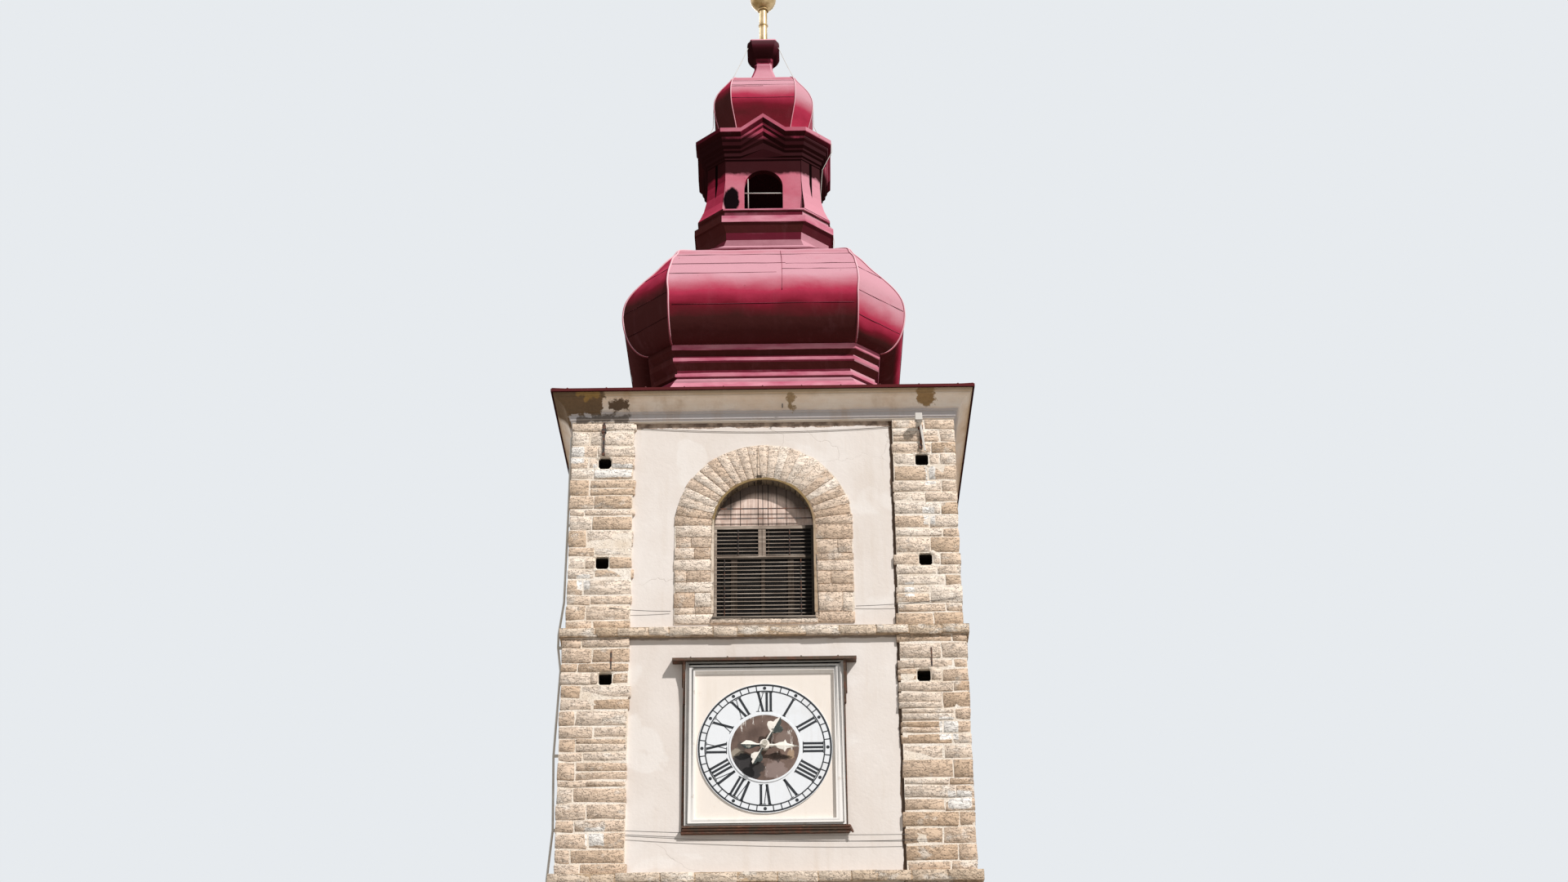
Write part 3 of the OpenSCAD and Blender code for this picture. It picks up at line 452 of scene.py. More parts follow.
for name, sx, sy in (("front_left", -1, -1), ("front_right", 1, -1),
                     ("back_left", -1, 1), ("back_right", 1, 1)):
    clothe(name + "_pier", mortar_finish)
    pier_stones(name + "_stones", sx, sy)
hole_corners = bmesh.new()
for half, z_low, z_high in storeys:
    for k, (x, z) in enumerate((x, z) for x, z in pole_holes if z_low < z < z_high):
        for corner in range(16):
            sx, sy, across, up = (1 if corner >> bit & 1 else -1 for bit in range(4))
            leg = 0.042 + 0.012 * ((corner * 5 + k * 3) % 4) / 3
            verts = block(hole_corners, (-leg, 0.0, -leg), (leg, 0.09, leg))
            swing(hole_corners, verts, math.pi / 4, "Y")
            reach = hole_half + 0.012
            for v in verts:
                v.co = Vector((sx * (x + across * reach + v.co.x), sy * (half + 0.004 - v.co.y),
                               z + up * reach + v.co.z))
outward(hole_corners)
worn(hole_corners, 0.010)
ragged(hole_corners, 0.012, 6.0)
shown("pole_hole_corners", hole_corners, mortar_finish, slot="stone", smooth=True)

# Walls between the piers: rubble masonry under a coat of pale lime plaster, trowelled by hand, with rain marks,
# patches of newer limewash and hair cracks.


def lime_plaster(tree):
    """Lime plaster trowelled by hand, with rain marks, newer limewash, hair cracks and some painted shadow."""
    where = place(tree)
    parts = axes(tree)
    rough = gritty(tree, 1.6, 0.08)
    cloudy = speckle(tree, place(tree, (1, 1, 0.7)), 0.55, 6, 0.6)
    colour = blend(tree, spread(tree, cloudy, 0.35, 0.65), "DDD3CB", "E8E1DC")
    newer = speckle(tree, place(tree, (1, 1, 1), (4, 9, 2)), 0.8, 3, 0.5, 0.6)
    colour = blend(tree, spread(tree, newer, 0.60, 0.64, 0, 0.5), colour, "EDE8E4")
    colour = rained(tree, colour, 3.0, 0.30, "BFA98F")
    bends = add(tree, "TexNoise", {"Vector": where, "Scale": 1.3, "Detail": 6.0}).outputs["Color"]
    bent = add(tree, "VectorMath", {0: where, 1: bends}, operation="ADD").outputs[0]
    crack = add(tree, "TexVoronoi", {"Vector": bent, "Scale": 0.23},
                feature="DISTANCE_TO_EDGE").outputs["Distance"]
    some = spread(tree, speckle(tree, place(tree, (1, 1, 1), (7, 0, 0)), 0.35, 2), 0.50, 0.56)
    crack = times(tree, spread(tree, crack, 0.0, 0.0022, 1, 0), some)
    colour = blend(tree, times(tree, crack, 0.22), colour, "8E7A66")
    top = times_plus(tree, speckle(tree, place(tree, (1, 1, 0.3)), 2.6, 6, 0.7), 0.16, 21.56)
    broken = spread(tree, minus(tree, parts["Z"], top), 0.0, 0.010)
    rubble = blend(tree, spread(tree, speckle(tree, where, 6.0, 5), 0.4, 0.6), "7C6A5E", "B9A493")
    colour = blend(tree, broken, colour, rubble)
    # Painted shadow: a dark wavy strip on the front along the right pier's inner edge, where the pier's shadow
    # falls.
    side = times_plus(tree, speckle(tree, where, 1.8, 6, 0.66), 0.14, parts["X"])
    front = spread(tree, parts["Y"], -3.60, -3.62)
    colour = blend(tree, times(tree, spread(tree, side, 2.512, 2.522, 0, 0.95), front), colour, "523C2B")
    # Painted shadow: a dark band on the wall just under the string course below the bell windows.
    low = times_plus(tree, speckle(tree, where, 3.0, 6, 0.7), 0.09, parts["Z"])
    shadow_under_string = times(tree, spread(tree, low, 17.25, 17.27, 0, 0.7), spread(tree, parts["Z"], 17.31, 17.30))
    colour = blend(tree, shadow_under_string, colour, "6B543F")
    foot = times_plus(tree, speckle(tree, where, 1.4, 4), 1.2, -0.4)
    colour = blend(tree, spread(tree, minus(tree, parts["Z"], foot), 0.1, 1.3, 0.6, 0), colour, "A8977F")
    height = times_plus(tree, broken, -2.0, times_plus(tree, crack, -0.3, rough["Height"]))
    return colour, 0.88, height, 0.010


plaster_finish = finish_of("lime_plaster", lime_plaster)
for storey in ("lower", "clock", "bell"):
    for side in ("front", "back", "left", "right"):
        clothe(f"{storey}_{side}_wall", plaster_finish)

# String courses: thin slabs of dressed stone laid end to end round the tower at each floor, weathered along
# their upper edge, with gaps where the mortar has gone.
slab_finish = finish_of("dressed_stone", bare_stone("C9B196", "E8D5BF", "F6E8D8", 0.7))
clothe("string_courses", slab_finish)
quarter_turns = [Matrix.Rotation(math.pi / 2 * quarter, 3, "Z") for quarter in range(4)]


def turned(mesh, verts, quarter):
    """Takes a front piece round to another side: 0 front, 1 right, 2 back, 3 left."""
    bmesh.ops.rotate(mesh, verts=verts, cent=(0, 0, 0), matrix=quarter_turns[quarter])


slabs = new_stones()
for half, top in ((3.85, 6.5), (3.80, 12.75), (3.75, 17.43)):
    edge = half + 0.06
    for quarter in range(4):
        x = -edge - 0.01
        while x < edge - 0.02:
            end = min(x + dice.uniform(0.35, 0.95), edge + 0.008)
            if edge - end < 0.25:
                end = edge + 0.008
            over_pier = min(abs(x), abs(end)) > 2.3
            out = dice.uniform(0.002, 0.016)
            low = top - 0.17 - dice.choice((0.0, 0.0, 0.02)) - 0.004
            verts = block(slabs, (x + 0.006, -edge - out, low + dice.uniform(0, 0.012)),
                          (end - 0.006, -half + 0.03, top + dice.uniform(-0.012, 0.010)), 0.006,
                          dice.uniform(0.1, 0.9) if over_pier else dice.uniform(0.5, 1.0))
            turned(slabs, verts, quarter)
            x = end
worn(slabs, 0.012)
ragged(slabs, 0.010, 5.0)
shown("string_course_slabs", slabs, slab_finish, slot="dressed_stone", smooth=True)

# Floors: worn slabs at the ground, and rough boards on joists above, which only the slits and the lantern show.
divided, remainder, whole = maths("DIVIDE"), maths("FRACT"), maths("FLOOR")


def rough_boards(light, dark, along, width=0.22):
    """Sawn boards side by side along X (0) or Z (2), with their grain and dark gaps between them."""
    def build(tree):
        row = divided(tree, axes(tree)["Y" if along == 0 else "X"], width)
        gap = spread(tree, size_of(tree, minus(tree, remainder(tree, row), 0.5)), 0.46, 0.49)
        own = add(tree, "TexWhiteNoise", {"W": whole(tree, row)}, noise_dimensions="1D").outputs["Value"]
        stretch = [22.0, 22.0, 22.0]
        stretch[along] = 1.2
        grain = speckle(tree, place(tree, stretch), 1.0, 6, 0.65, 0.6)
        colour = blend(tree, spread(tree, grain, 0.30, 0.72), dark, light)
        colour = blend(tree, gap, blend(tree, times(tree, own, 0.45), colour, dark), "1B130D")
        return colour, 0.82, times_plus(tree, gap, -1.5, grain), 0.004
    return build


def worn_slabs(tree):
    """Stone slabs worn by feet, dirty along their joints."""
    rough = gritty(tree, 4.0, 0.3)
    slab = add(tree, "TexBrick", {
        "Vector": place(tree), "Scale": 1.0, "Mortar Size": 0.012, "Brick Width": 0.9, "Row Height": 0.6,
        "Color1": shade("9C907F"), "Color2": shade("857A6A"), "Mortar": shade("5A5145")}).outputs
    colour = blend(tree, spread(tree, rough["Tone"], 0.8, 1.3, 0, 0.35), slab["Color"], "6E6456")
    return colour, 0.75, times_plus(tree, slab["Fac"], -1.0, rough["Height"]), 0.008


clothe("ground_floor", finish_of("worn_slabs", worn_slabs))
board_finish = finish_of("floor_boards", rough_boards("8A7358", "4E3B2A", 0))
clothe("timber_floors", board_finish)
clothe("roof_deck", board_finish)

# Doorway: a round arch of dressed stones at the foot of the front, on coursed jambs.
door_half, door_outer, door_spring, door_front, door_back = 0.65, 0.96, 2.10, -3.962, -3.60


def arch_stones(mesh, mid_z, inner, outer, front, back, count, quarter=0, gap=0.006, lift=0.0):
    """Wedge stones side by side round a half circle above mid_z, their faces at y front and back."""
    step = math.pi / count
    for k in range(count):
        width = step * dice.uniform(-0.08, 0.08)
        a0, a1 = math.pi - k * step + width * 0.3, math.pi - (k + 1) * step - width * 0.3
        grow = dice.uniform(-0.015, 0.02)
        out = dice.uniform(0.0, 0.010) + (lift if k == count // 2 else 0)
        verts = block(mesh, (0, front - out, 0), (1, back, 1), 0.0, dice.random())
        for v in verts:
            angle = a0 + (a1 - a0) * v.co.x + math.copysign(gap, v.co.x - 0.5) / outer
            reach = inner - 0.006 + (outer + grow - inner) * v.co.z
            v.co = Vector((reach * math.cos(angle), v.co.y + dice.uniform(-0.003, 0.003),
                           mid_z + reach * math.sin(angle)))
        turned(mesh, verts, quarter)


def jamb_stones(mesh, beds, inner, outer, front, back, side, quarter=0, split=(), gap=0.007):
    """Stones one over another at one side of an opening, some of them in two pieces."""
    for k, (z0, z1) in enumerate(zip(beds, beds[1:])):
        ends = [inner - 0.006, outer + dice.uniform(-0.03, 0.02)]
        if k in split:
            ends.insert(1, inner + (outer - inner) * dice.uniform(0.35, 0.7))
        for a, b in zip(ends, ends[1:]):
            start = a + (gap if a > inner else 0)
            verts = block(mesh, (side * start, front - dice.uniform(0.002, 0.012), z0 + gap),
                          (side * (b - gap * 0.5), back, z1 - gap), 0.004, dice.random())
            turned(mesh, verts, quarter)


doorway = new_stones()
arch_stones(doorway, door_spring, door_half, door_outer, door_front, door_back, 11, lift=0.05)
for side in (-1, 1):
    jamb_stones(doorway, [0.0, 0.42, 0.80, 1.12, 1.50, 1.80, door_spring], door_half, door_outer, door_front,
                door_back, side)
worn(doorway, 0.012)
clothe("door_surround", mortar_finish)
shown("doorway_stones", doorway, slab_finish, slot="dressed_stone", smooth=True)

# Door leaf: upright oak boards nailed to ledges, hung on two forged strap hinges, with a ring to pull it by.
oak_finish = finish_of("stained_oak", rough_boards("6B4A30", "2E1D12", 2, 0.16))
clothe("door_leaf", oak_finish)


def blotched(base, blots, grain, low, high, share, rough, marks, amount):
    """The finish of a small thing: one colour with blots of another, and faint marks."""
    def build(tree):
        where = place(tree)
        colour = blend(tree, spread(tree, speckle(tree, where, *grain), low, high, 0, share), base, blots)
        return colour, rough, speckle(tree, where, *marks), amount
    return build


forged = blotched("2E2A28", "6E4027", (9.0, 5, 0.65), 0.46, 0.62, 1.0, 0.7, (26.0, 4, 0.6), 0.003)
iron_finish = finish_of("forged_iron", forged, specular=0.5)


def arched(mesh, width, foot, spring, front, back):
    """An upright plate with a round head."""
    ring = bmesh.ops.create_circle(mesh, cap_ends=False, segments=48, radius=width / 2)["verts"]
    lower = [v for v in ring if v.co.y < -1e-4]
    bmesh.ops.delete(mesh, geom=lower, context="VERTS")
    ring = [v for v in ring if v.is_valid]
    ends = [v for v in ring if abs(v.co.y) < 1e-4]
    feet = [mesh.verts.new((v.co.x, foot - spring, 0)) for v in ends]
    for a, b in zip(ends, feet):
        mesh.edges.new((a, b))
    mesh.edges.new(feet)
    edges = {e for v in ring + feet for e in v.link_edges}
    face = bmesh.ops.contextual_create(mesh, geom=list(edges))["faces"]
    deep = bmesh.ops.extrude_face_region(mesh, geom=face)["geom"]
    moved = [v for v in deep if isinstance(v, bmesh.types.BMVert)]
    bmesh.ops.translate(mesh, verts=moved, vec=(0, 0, front - back))
    verts = ring + feet + moved
    swing(mesh, verts, math.pi / 2, "X")
    bmesh.ops.translate(mesh, verts=verts, vec=(0, back, spring))
    outward(mesh, list({f for v in verts for f in v.link_faces}))
    return verts


def nail_heads(mesh, points, radius, out=0.006):
    """Round nail heads on an upright face that looks along -Y."""
    for point in points:
        bmesh.ops.create_icosphere(mesh, subdivisions=1, radius=radius,
                                   matrix=Matrix.Translation(point) @ Matrix.Diagonal((1, out / radius, 1, 1)))


def spun(mesh, section, axis, steps):
    """Sweeps a section once round a line through the middle."""
    bmesh.ops.spin(mesh, geom=section, cent=(0, 0, 0), axis=axis, dvec=(0, 0, 0), angle=math.tau, steps=steps,
                   use_merge=True, use_duplicate=False)


boards = bmesh.new()
pitch, first = 0.161, -0.645
for k in range(8):
    x = first + k * pitch
    top = door_spring + math.sqrt(max(0.0, 0.64 ** 2 - max(abs(x), abs(x + pitch)) ** 2))
    block(boards, (x + 0.002, -3.712 - dice.uniform(0, 0.004), 0.02), (x + 0.158, -3.66, top - 0.01), 0.001)
worn(boards, 0.005)
shown("door_boards", boards, oak_finish, slot="door_wood")
irons = bmesh.new()
for z in (0.55, 1.95):
    strap = block(irons, (-0.62, -3.728, z - 0.03), (0.34, -3.706, z + 0.03))
    for v in strap:
        if v.co.x > 0:
            v.co.z = z + (v.co.z - z) * 0.45
    block(irons, (-0.655, -3.735, z - 0.07), (-0.60, -3.700, z + 0.07))
    nail_heads(irons, [(-0.55 + 0.16 * k, -3.728, z) for k in range(6)], 0.014)
for z in (0.25, 1.25, 2.35):
    nail_heads(irons, [(first + 0.08 + pitch * k, -3.714, z) for k in range(8) if z < 2.2 or 1 < k < 6], 0.011)
block(irons, (0.42, -3.724, 1.05), (0.54, -3.706, 1.30))
worn(irons, 0.004, 0.02)
shown("door_irons", irons, iron_finish, slot="door_wood")
pull = bmesh.new()
bmesh.ops.create_circle(pull, segments=12, radius=0.009, matrix=Matrix.Translation((0.055, 0, 0)))
spun(pull, pull.verts[:] + pull.edges[:], (0, 1, 0), 32)
bmesh.ops.remove_doubles(pull, verts=pull.verts[:], dist=0.0002)
outward(pull)
swing(pull, pull.verts[:], 0.12, "X")
bmesh.ops.translate(pull, verts=pull.verts[:], vec=(0.48, -3.738, 1.10))
shown("door_pull", pull, iron_finish, slot="door_wood", smooth=True)

# Bell windows: an arch of narrow wedge stones on coursed jambs, a sill, and a strip of limewash along the inner
# edge. The same window is on all four sides.
window_half, window_outer, window_spring = 0.955, 1.695, 19.56
surround_face, stone_front, stone_back = -3.655, -3.667, -3.42
left_beds = [17.54, 17.74, 17.873, 18.171, 18.387, 18.621, 18.857, 19.093, 19.313, 19.56]
right_beds = [17.54, 17.757, 18.153, 18.319, 18.586, 18.804, 18.948, 19.244, 19.56]
lesser, root = maths("MINIMUM"), maths("SQRT")


def from_arch(tree):
    """Distance from the middle line of a window's arch and jambs."""
    across = from_middle(tree, lesser)
    up = greater(tree, minus(tree, axes(tree)["Z"], window_spring), 0.0)
    return root(tree, plus(tree, times(tree, across, across), times(tree, up, up)))


def over(build, overlay):
    """A finish whose colour is worked over by a second function, with painted shade and other marks."""
    def both(tree):
        colour, *others = build(tree)
        return overlay(tree, colour), *others
    return both


def reveal_shade_and_joints(tree, colour):
    """Painted shade: brown where the stone turns in to the shutters, and a dark line along the sill stones
    under the sill board's front; also an open joint at the front's crown, running up between two wedge stones.
    """
    parts = axes(tree)
    painted_reveal_shade = spread(tree, from_arch(tree), 0.975, 0.957, 0, 0.85)
    colour = blend(tree, times(tree, painted_reveal_shade, spread(tree, parts["Z"], 17.63, 17.66)), colour, "5B4B33")
    torn = times_plus(tree, speckle(tree, place(tree), 9.0, 5, 0.66), 0.05, -0.025)
    front = spread(tree, parts["Y"], -3.4, -3.5)
    # The first two boxes are the open joint at the crown and the joint running up from it; the last is painted
    # shadow under the sill board.
    for *box, share in ((-0.13, -0.03, 20.49, 20.60, 0.9), (-0.125, -0.108, 20.55, 21.2, 0.6),
                        (-1.0, 1.0, 17.602, 17.64, 0.7)):
        inside = spread(tree, torn_box(tree, torn, *box), 0.006, -0.002, 0, share)
        colour = blend(tree, times(tree, inside, front), colour, "3E3224")
    return colour


window_stone = finish_of("window_stone", over(bare_stone("D2B8A0", "EDD9C6", "F9ECDE", 0.4), reveal_shade_and_joints))
clothe("window_surrounds", mortar_finish)
arches, margins = new_stones(), bmesh.new()
lime_front = surround_face - 0.027
for quarter in range(4):
    arch_stones(arches, window_spring, window_half, window_outer, stone_front, stone_back, 25, quarter,
                gap=0.004, lift=0.004)
    for beds, side, split in ((left_beds, -1, (1, 2, 4, 6, 7)), (right_beds, 1, (1, 3, 6))):
        jamb_stones(arches, beds, window_half, window_outer, stone_front, stone_back, side, quarter,
                    split=split, gap=0.005)
    for start, end in ((-1.0, -0.42), (-0.42, 0.30), (0.30, 1.0)):
        sill = block(arches, (start + 0.004, -3.708 - dice.uniform(0, 0.008), 17.532),
                     (end - 0.004, -3.40, 17.628), 0.003, dice.uniform(0.4, 1))
        turned(arches, sill, quarter)
    for k in range(30):
        verts = block(margins, (0, lime_front, 0), (1, surround_face, 1))
        wide = dice.uniform(0.030, 0.052)
        for v in verts:
            angle = math.pi * (k + v.co.x) / 30
            reach = window_half - 0.008 + wide * v.co.z
            v.co = Vector((reach * math.cos(angle), v.co.y, window_spring + reach * math.sin(angle)))
        turned(margins, verts, quarter)
    for side in (-1, 1):
        z = 17.75
        while z < window_spring:
            end = min(z + dice.uniform(0.12, 0.3), window_spring)
            wide = dice.uniform(0.028, 0.055)
            strip = block(margins, (side * (window_half - 0.008), lime_front, z),
                          (side * (window_half + wide), surround_face, end), 0.001)
            turned(margins, strip, quarter)
            z = end


def window_lime(tree):
    """Limewash along the inner edge of a window, with painted shade: brown round the arch and darker at the
    right jamb; also dirty in blots.
    """
    where = place(tree)
    parts = axes(tree)
    level = plus(tree, parts["Z"], times_plus(tree, speckle(tree, where, 5.0, 5, 0.6), 0.5, -0.25))
    # Painted shade: brown on the arch part of the strip, and darker on the strip at the right jamb.
    colour = blend(tree, spread(tree, level, 19.50, 19.62), "DDCDBB", "8C7650")
    colour = blend(tree, spread(tree, parts["X"], 0.85, 0.90, 0, 0.8), colour, "A48C70")
    colour = blend(tree, spread(tree, speckle(tree, where, 9.0, 5), 0.5, 0.68, 0, 0.6), colour, "7A6046")
    return colour, 0.9, speckle(tree, where, 12.0), 0.006


margin_finish = finish_of("window_lime", window_lime)
outward(arches)
outward(margins)
worn(arches, 0.008)
ragged(arches, 0.010, 5.5)
shown("window_stones", arches, window_stone, slot="dressed_stone", smooth=True)
shown("window_margins", margins, margin_finish, slot="dressed_stone")

# Shutters: a framed pair of louvre panels over a lower louvre, under upright boards that fill the arch, all of
# bare wood gone grey, with two iron bars across the boards and thin rods that tilt the slats.
shutter_front = -3.475


def bare_wood(light, dark, stretch):
    """Unpainted wood left to the weather: grey and pinkish, grained, darker in blots, and painted near black as
    shade on faces that look down.
    """
    def build(tree):
        grain = speckle(tree, place(tree, stretch), 1.0, 6, 0.7, 0.5)
        colour = blend(tree, spread(tree, grain, 0.36, 0.70), dark, light)
        colour = blend(tree, spread(tree, speckle(tree, place(tree), 3.0, 4), 0.42, 0.70, 0, 0.5), colour,
                       "6B584C")
        # Painted shade: faces that look down turn near black.
        facing = axes(tree, add(tree, "NewGeometry").outputs["Normal"])["Z"]
        return blend(tree, spread(tree, facing, -0.05, -0.4, 0, 0.97), colour, "120D0A"), 0.85, grain, 0.003
    return build


def shade_under_arch(tree, colour):
    """Painted shade: near black on the boards high up under the arch, towards its edge."""
    far = times_plus(tree, speckle(tree, place(tree), 4.0, 5, 0.6), 0.12, from_arch(tree))
    high = spread(tree, axes(tree)["Z"], 19.80, 20.05)
    return blend(tree, times(tree, spread(tree, far, 0.74, 0.86, 0, 0.85), high), colour, "33271F")


def jamb_shadow(tree, colour):
    """Painted shadow: near black along the right jamb of the front window, where the jamb's shadow falls on the
    shutter.
    """
    parts = axes(tree)
    jamb_shadow_share = times(tree, spread(tree, parts["X"], 0.77, 0.80, 0, 0.9), spread(tree, parts["Y"], -3.3, -3.4))
    return blend(tree, jamb_shadow_share, colour, "251F19")


lying, standing = (1.5, 1.5, 30.0), (30.0, 30.0, 1.5)
shutter_wood = finish_of("shutter_wood", over(bare_wood("CBBDAF", "7F7165", lying), jamb_shadow))
# The stiles behind the slats get a darker copy of the shutter wood, as painted shade.
shaded_stile_wood = finish_of("shaded_stile_wood", over(bare_wood("6A5F55", "332C26", standing), jamb_shadow))
sill_wood = finish_of("sill_wood", bare_wood("AA9E92", "6E645A", lying))
arch_wood = finish_of("arch_boards", over(bare_wood("FBE7DB", "C8AC9E", standing), shade_under_arch))
# Painted shade: a near-black sheet behind the slats stands for the shade of the room behind them.
painted_room_shade = finish_of("dark_backing", rough_boards("100B09", "080505", 2, 0.2))
backing, frames_of, stiles, slats, arch_boards, bars, sills = (bmesh.new() for _ in range(7))
# The bars of each frame and the flat stiles behind the slats, as x and z from and to, and for the bars how far
# out they stand
frame_bars = [(-0.95, -0.90, 17.63, 19.58, 0), (0.90, 0.95, 17.63, 19.58, 0), (-0.95, 0.95, 19.55, 19.625, 0),
              (-0.90, 0.90, 18.935, 18.975, -0.004), (-0.90, 0.90, 17.63, 17.70, -0.004),
              (-0.108, -0.042, 18.97, 19.55, -0.004), (-0.034, 0.032, 18.97, 19.55, -0.004),
              (-0.905, 0.905, 18.955, 18.985, 0.012)]
stile_bars = [(-0.63, -0.51, 17.70, 18.94), (0.45, 0.565, 17.70, 18.94), (-0.055, 0.012, 17.70, 18.94),
              (0.07, 0.10, 18.97, 19.55)]
tilt_rods = [(-0.75, 17.75, 18.92), (0.70, 17.75, 18.92), (-0.49, 18.98, 19.54), (0.49, 18.98, 19.54)]
slat_rows = [(-0.90, 0.90, 17.725 + 0.0800 * k) for k in range(15)]
slat_rows += [(x0, x1, 18.995 + 0.079 * k) for k in range(7) for x0, x1 in ((-0.90, -0.108), (0.032, 0.90))]
board_cuts = [-0.95, -0.634, -0.453, -0.11, -0.02, 0.085, 0.248, 0.436, 0.95]


def fitted(mesh, x0, x1, z0, z1, out, into, shake=0.0):
    """A bar or board from out in front of the shutter's face to into behind it."""
    return block(mesh, (x0, shutter_front - out, z0), (x1, shutter_front + into, z1), shake)


for quarter in range(4):
    back_sheet = arched(backing, 1.89, 17.63, window_spring, shutter_front + 0.055, shutter_front + 0.068)
    turned(backing, back_sheet, quarter)
    for *sides, out in frame_bars:
        turned(frames_of, fitted(frames_of, *sides, out, 0.060, 0.0015), quarter)
    for sides in stile_bars:
        turned(stiles, fitted(stiles, *sides, -0.040, 0.054, 0.004), quarter)
    for x0, x1, z in slat_rows:
        droop = dice.uniform(-0.004, 0.004)
        slat = block(slats, (x0, shutter_front + 0.004, z - 0.0055), (x1, shutter_front + 0.034, z + 0.0055))
        for v in slat:
            v.co.z += (v.co.y - shutter_front - 0.027) * 0.56 + droop * (1 if v.co.x > 0 else -1) + 0.028
        turned(slats, slat, quarter)
    for x, z0, z1 in tilt_rods:
        turned(bars, fitted(bars, x - 0.005, x + 0.005, z0, z1, 0.012, 0.002, 0.001), quarter)
    for z in (19.763, 19.97):
        reach = math.sqrt(0.95 ** 2 - (z - window_spring) ** 2)
        turned(bars, fitted(bars, -reach, reach, z - 0.009, z + 0.009, 0.037, -0.021, 0.002), quarter)
    turned(sills, block(sills, (-0.985, -3.716, 17.626), (0.965, -3.45, 17.668), 0.004), quarter)
    for x0, x1 in zip(board_cuts, board_cuts[1:]):
        board = bmesh.new()
        arched(board, 1.892, 19.60, 19.601, shutter_front + dice.uniform(0.0, 0.010), shutter_front + 0.045)
        for x, side in ((x0 + 0.006, -1), (x1 - 0.006, 1)):
            bmesh.ops.bisect_plane(board, geom=board.verts[:] + board.edges[:] + board.faces[:],
                                   plane_co=(x, 0, 0), plane_no=(side, 0, 0), clear_outer=True)
            bmesh.ops.holes_fill(board, edges=[e for e in board.edges if e.is_boundary], sides=0)
        turned(board, board.verts[:], quarter)
        outward(board)
        held = bpy.data.meshes.new("board")
        board.to_mesh(held)
        board.free()
        arch_boards.from_mesh(held)
        bpy.data.meshes.remove(held)
worn(frames_of, 0.003)
shown("shutter_backing", backing, painted_room_shade, slot="shutter_wood", stands_for=("window_shutters",))
shown("shutter_frames", frames_of, shutter_wood, slot="shutter_wood")
shown("shutter_stiles", stiles, shaded_stile_wood, slot="shutter_wood")
shown("shutter_slats", slats, shutter_wood, slot="shutter_wood")
worn(sills, 0.006)
ragged(sills, 0.006, 6.0)
shown("shutter_sills", sills, sill_wood, slot="shutter_wood", smooth=True)
shown("arch_boards", arch_boards, arch_wood, slot="shutter_wood")
shown("shutter_bars", bars, iron_finish, slot="shutter_wood")

# Clock board and frame: boards painted cream behind a white frame of moulded timber, whose bead and inner lip
# are planed strips nailed on.


def oil_paint(base, worn_to, amount, streak=0.3):
    """Brushed paint on wood or sheet: faint brush marks, rain marks, and places where it is worn through."""
    def build(tree):
        bare = spread(tree, speckle(tree, place(tree), 4.0, 7, 0.68), 0.60, 0.66, 0, amount)
        colour = rained(tree, blend(tree, bare, base, worn_to), 7.0, streak, worn_to)
        return colour, 0.55, speckle(tree, place(tree, (14, 14, 3)), 1.5, 4, 0.6), 0.0015
    return build


def picture_frame(mesh, half, low, high, bar, front, back, soften):
    """A flat frame of bars that reaches half its width to each side, its front edges rounded over."""
    face = bmesh.ops.create_grid(mesh, x_segments=1, y_segments=1, size=1)["verts"]
    for v in face:
        v.co = Vector((half if v.co.x > 0 else -half, back, high if v.co.y > 0 else low))
    middle = list({f for v in face for f in v.link_faces})
    ring = bmesh.ops.inset_region(mesh, faces=middle, thickness=bar, depth=0, use_boundary=True,
                                  use_even_offset=True)["faces"]
    bmesh.ops.delete(mesh, geom=middle, context="FACES_ONLY")
    deep = bmesh.ops.extrude_face_region(mesh, geom=ring)["geom"]
    bmesh.ops.translate(mesh, verts=[v for v in deep if isinstance(v, bmesh.types.BMVert)],
                        vec=(0, front - back, 0))
    edges = [e for e in deep if isinstance(e, bmesh.types.BMEdge)]
    edges = [e for e in edges if len([f for f in e.link_faces if f in deep]) == 1]
    worn(mesh, soften, edges=edges, segments=3)


cream_board = finish_of("cream_board", oil_paint("EBE2D9", "C9B59C", 0.15, 0.22))
white_paint = finish_of("white_paint", oil_paint("F2EEEA", "B9A68F", 0.35, 0.35), specular=0.35)
# Painted shade: thin grey-brown strips between the frame's mouldings stand for the shadow lines between them.
gap_shade_paint = finish_of("gap_shade_paint", oil_paint("8C837B", "5A5048", 0.6))
clothe("clock_board", cream_board)
clothe("clock_frame", white_paint)
mouldings, gaps = bmesh.new(), bmesh.new()
for mesh, *sizes in ((mouldings, 1.455, 13.62, 16.727, 0.036, -3.812, -3.76, 0.016),
                     (mouldings, 1.385, 13.66, 16.665, 0.050, -3.834, -3.812, 0.016),
                     (mouldings, 1.312, 13.705, 16.600, 0.034, -3.826, -3.76, 0.004),
                     (gaps, 1.412, 13.650, 16.690, 0.010, -3.824, -3.80, 0.001),
                     (gaps, 1.330, 13.692, 16.618, 0.008, -3.824, -3.80, 0.001)):
    picture_frame(mesh, *sizes)
splay = block(mouldings, (-1.276, -3.818, 16.500), (1.276, -3.751, 16.585))
for v in splay:
    if v.co.y < -3.78 and v.co.z < 16.54:
        v.co.z = 16.572
outward(mouldings)
outward(gaps)
shown("frame_mouldings", mouldings, white_paint, slot="clock_frame")
shown("frame_gaps", gaps, gap_shade_paint, slot="clock_frame")

# Canopy over the clock: boards covered with folded sheet, painted brown and rusting, with a rolled front edge.
# Strips of the same sheet line both sides of the frame, and a ledge of it under its foot is curled at one end.


def brown_sheet(tree):
    """Brown paint on sheet, rusting in blots and rubbed to the metal."""
    where = place(tree)
    colour = blend(tree, spread(tree, speckle(tree, where, 6.0, 6, 0.66), 0.45, 0.60), "4A3A2C", "5E3826")
    bare = spread(tree, speckle(tree, place(tree, (1, 1, 3)), 14.0, 3), 0.58, 0.70, 0, 0.6)
    return blend(tree, bare, colour, "8A6A55"), 0.6, speckle(tree, where, 9.0, 4), 0.006


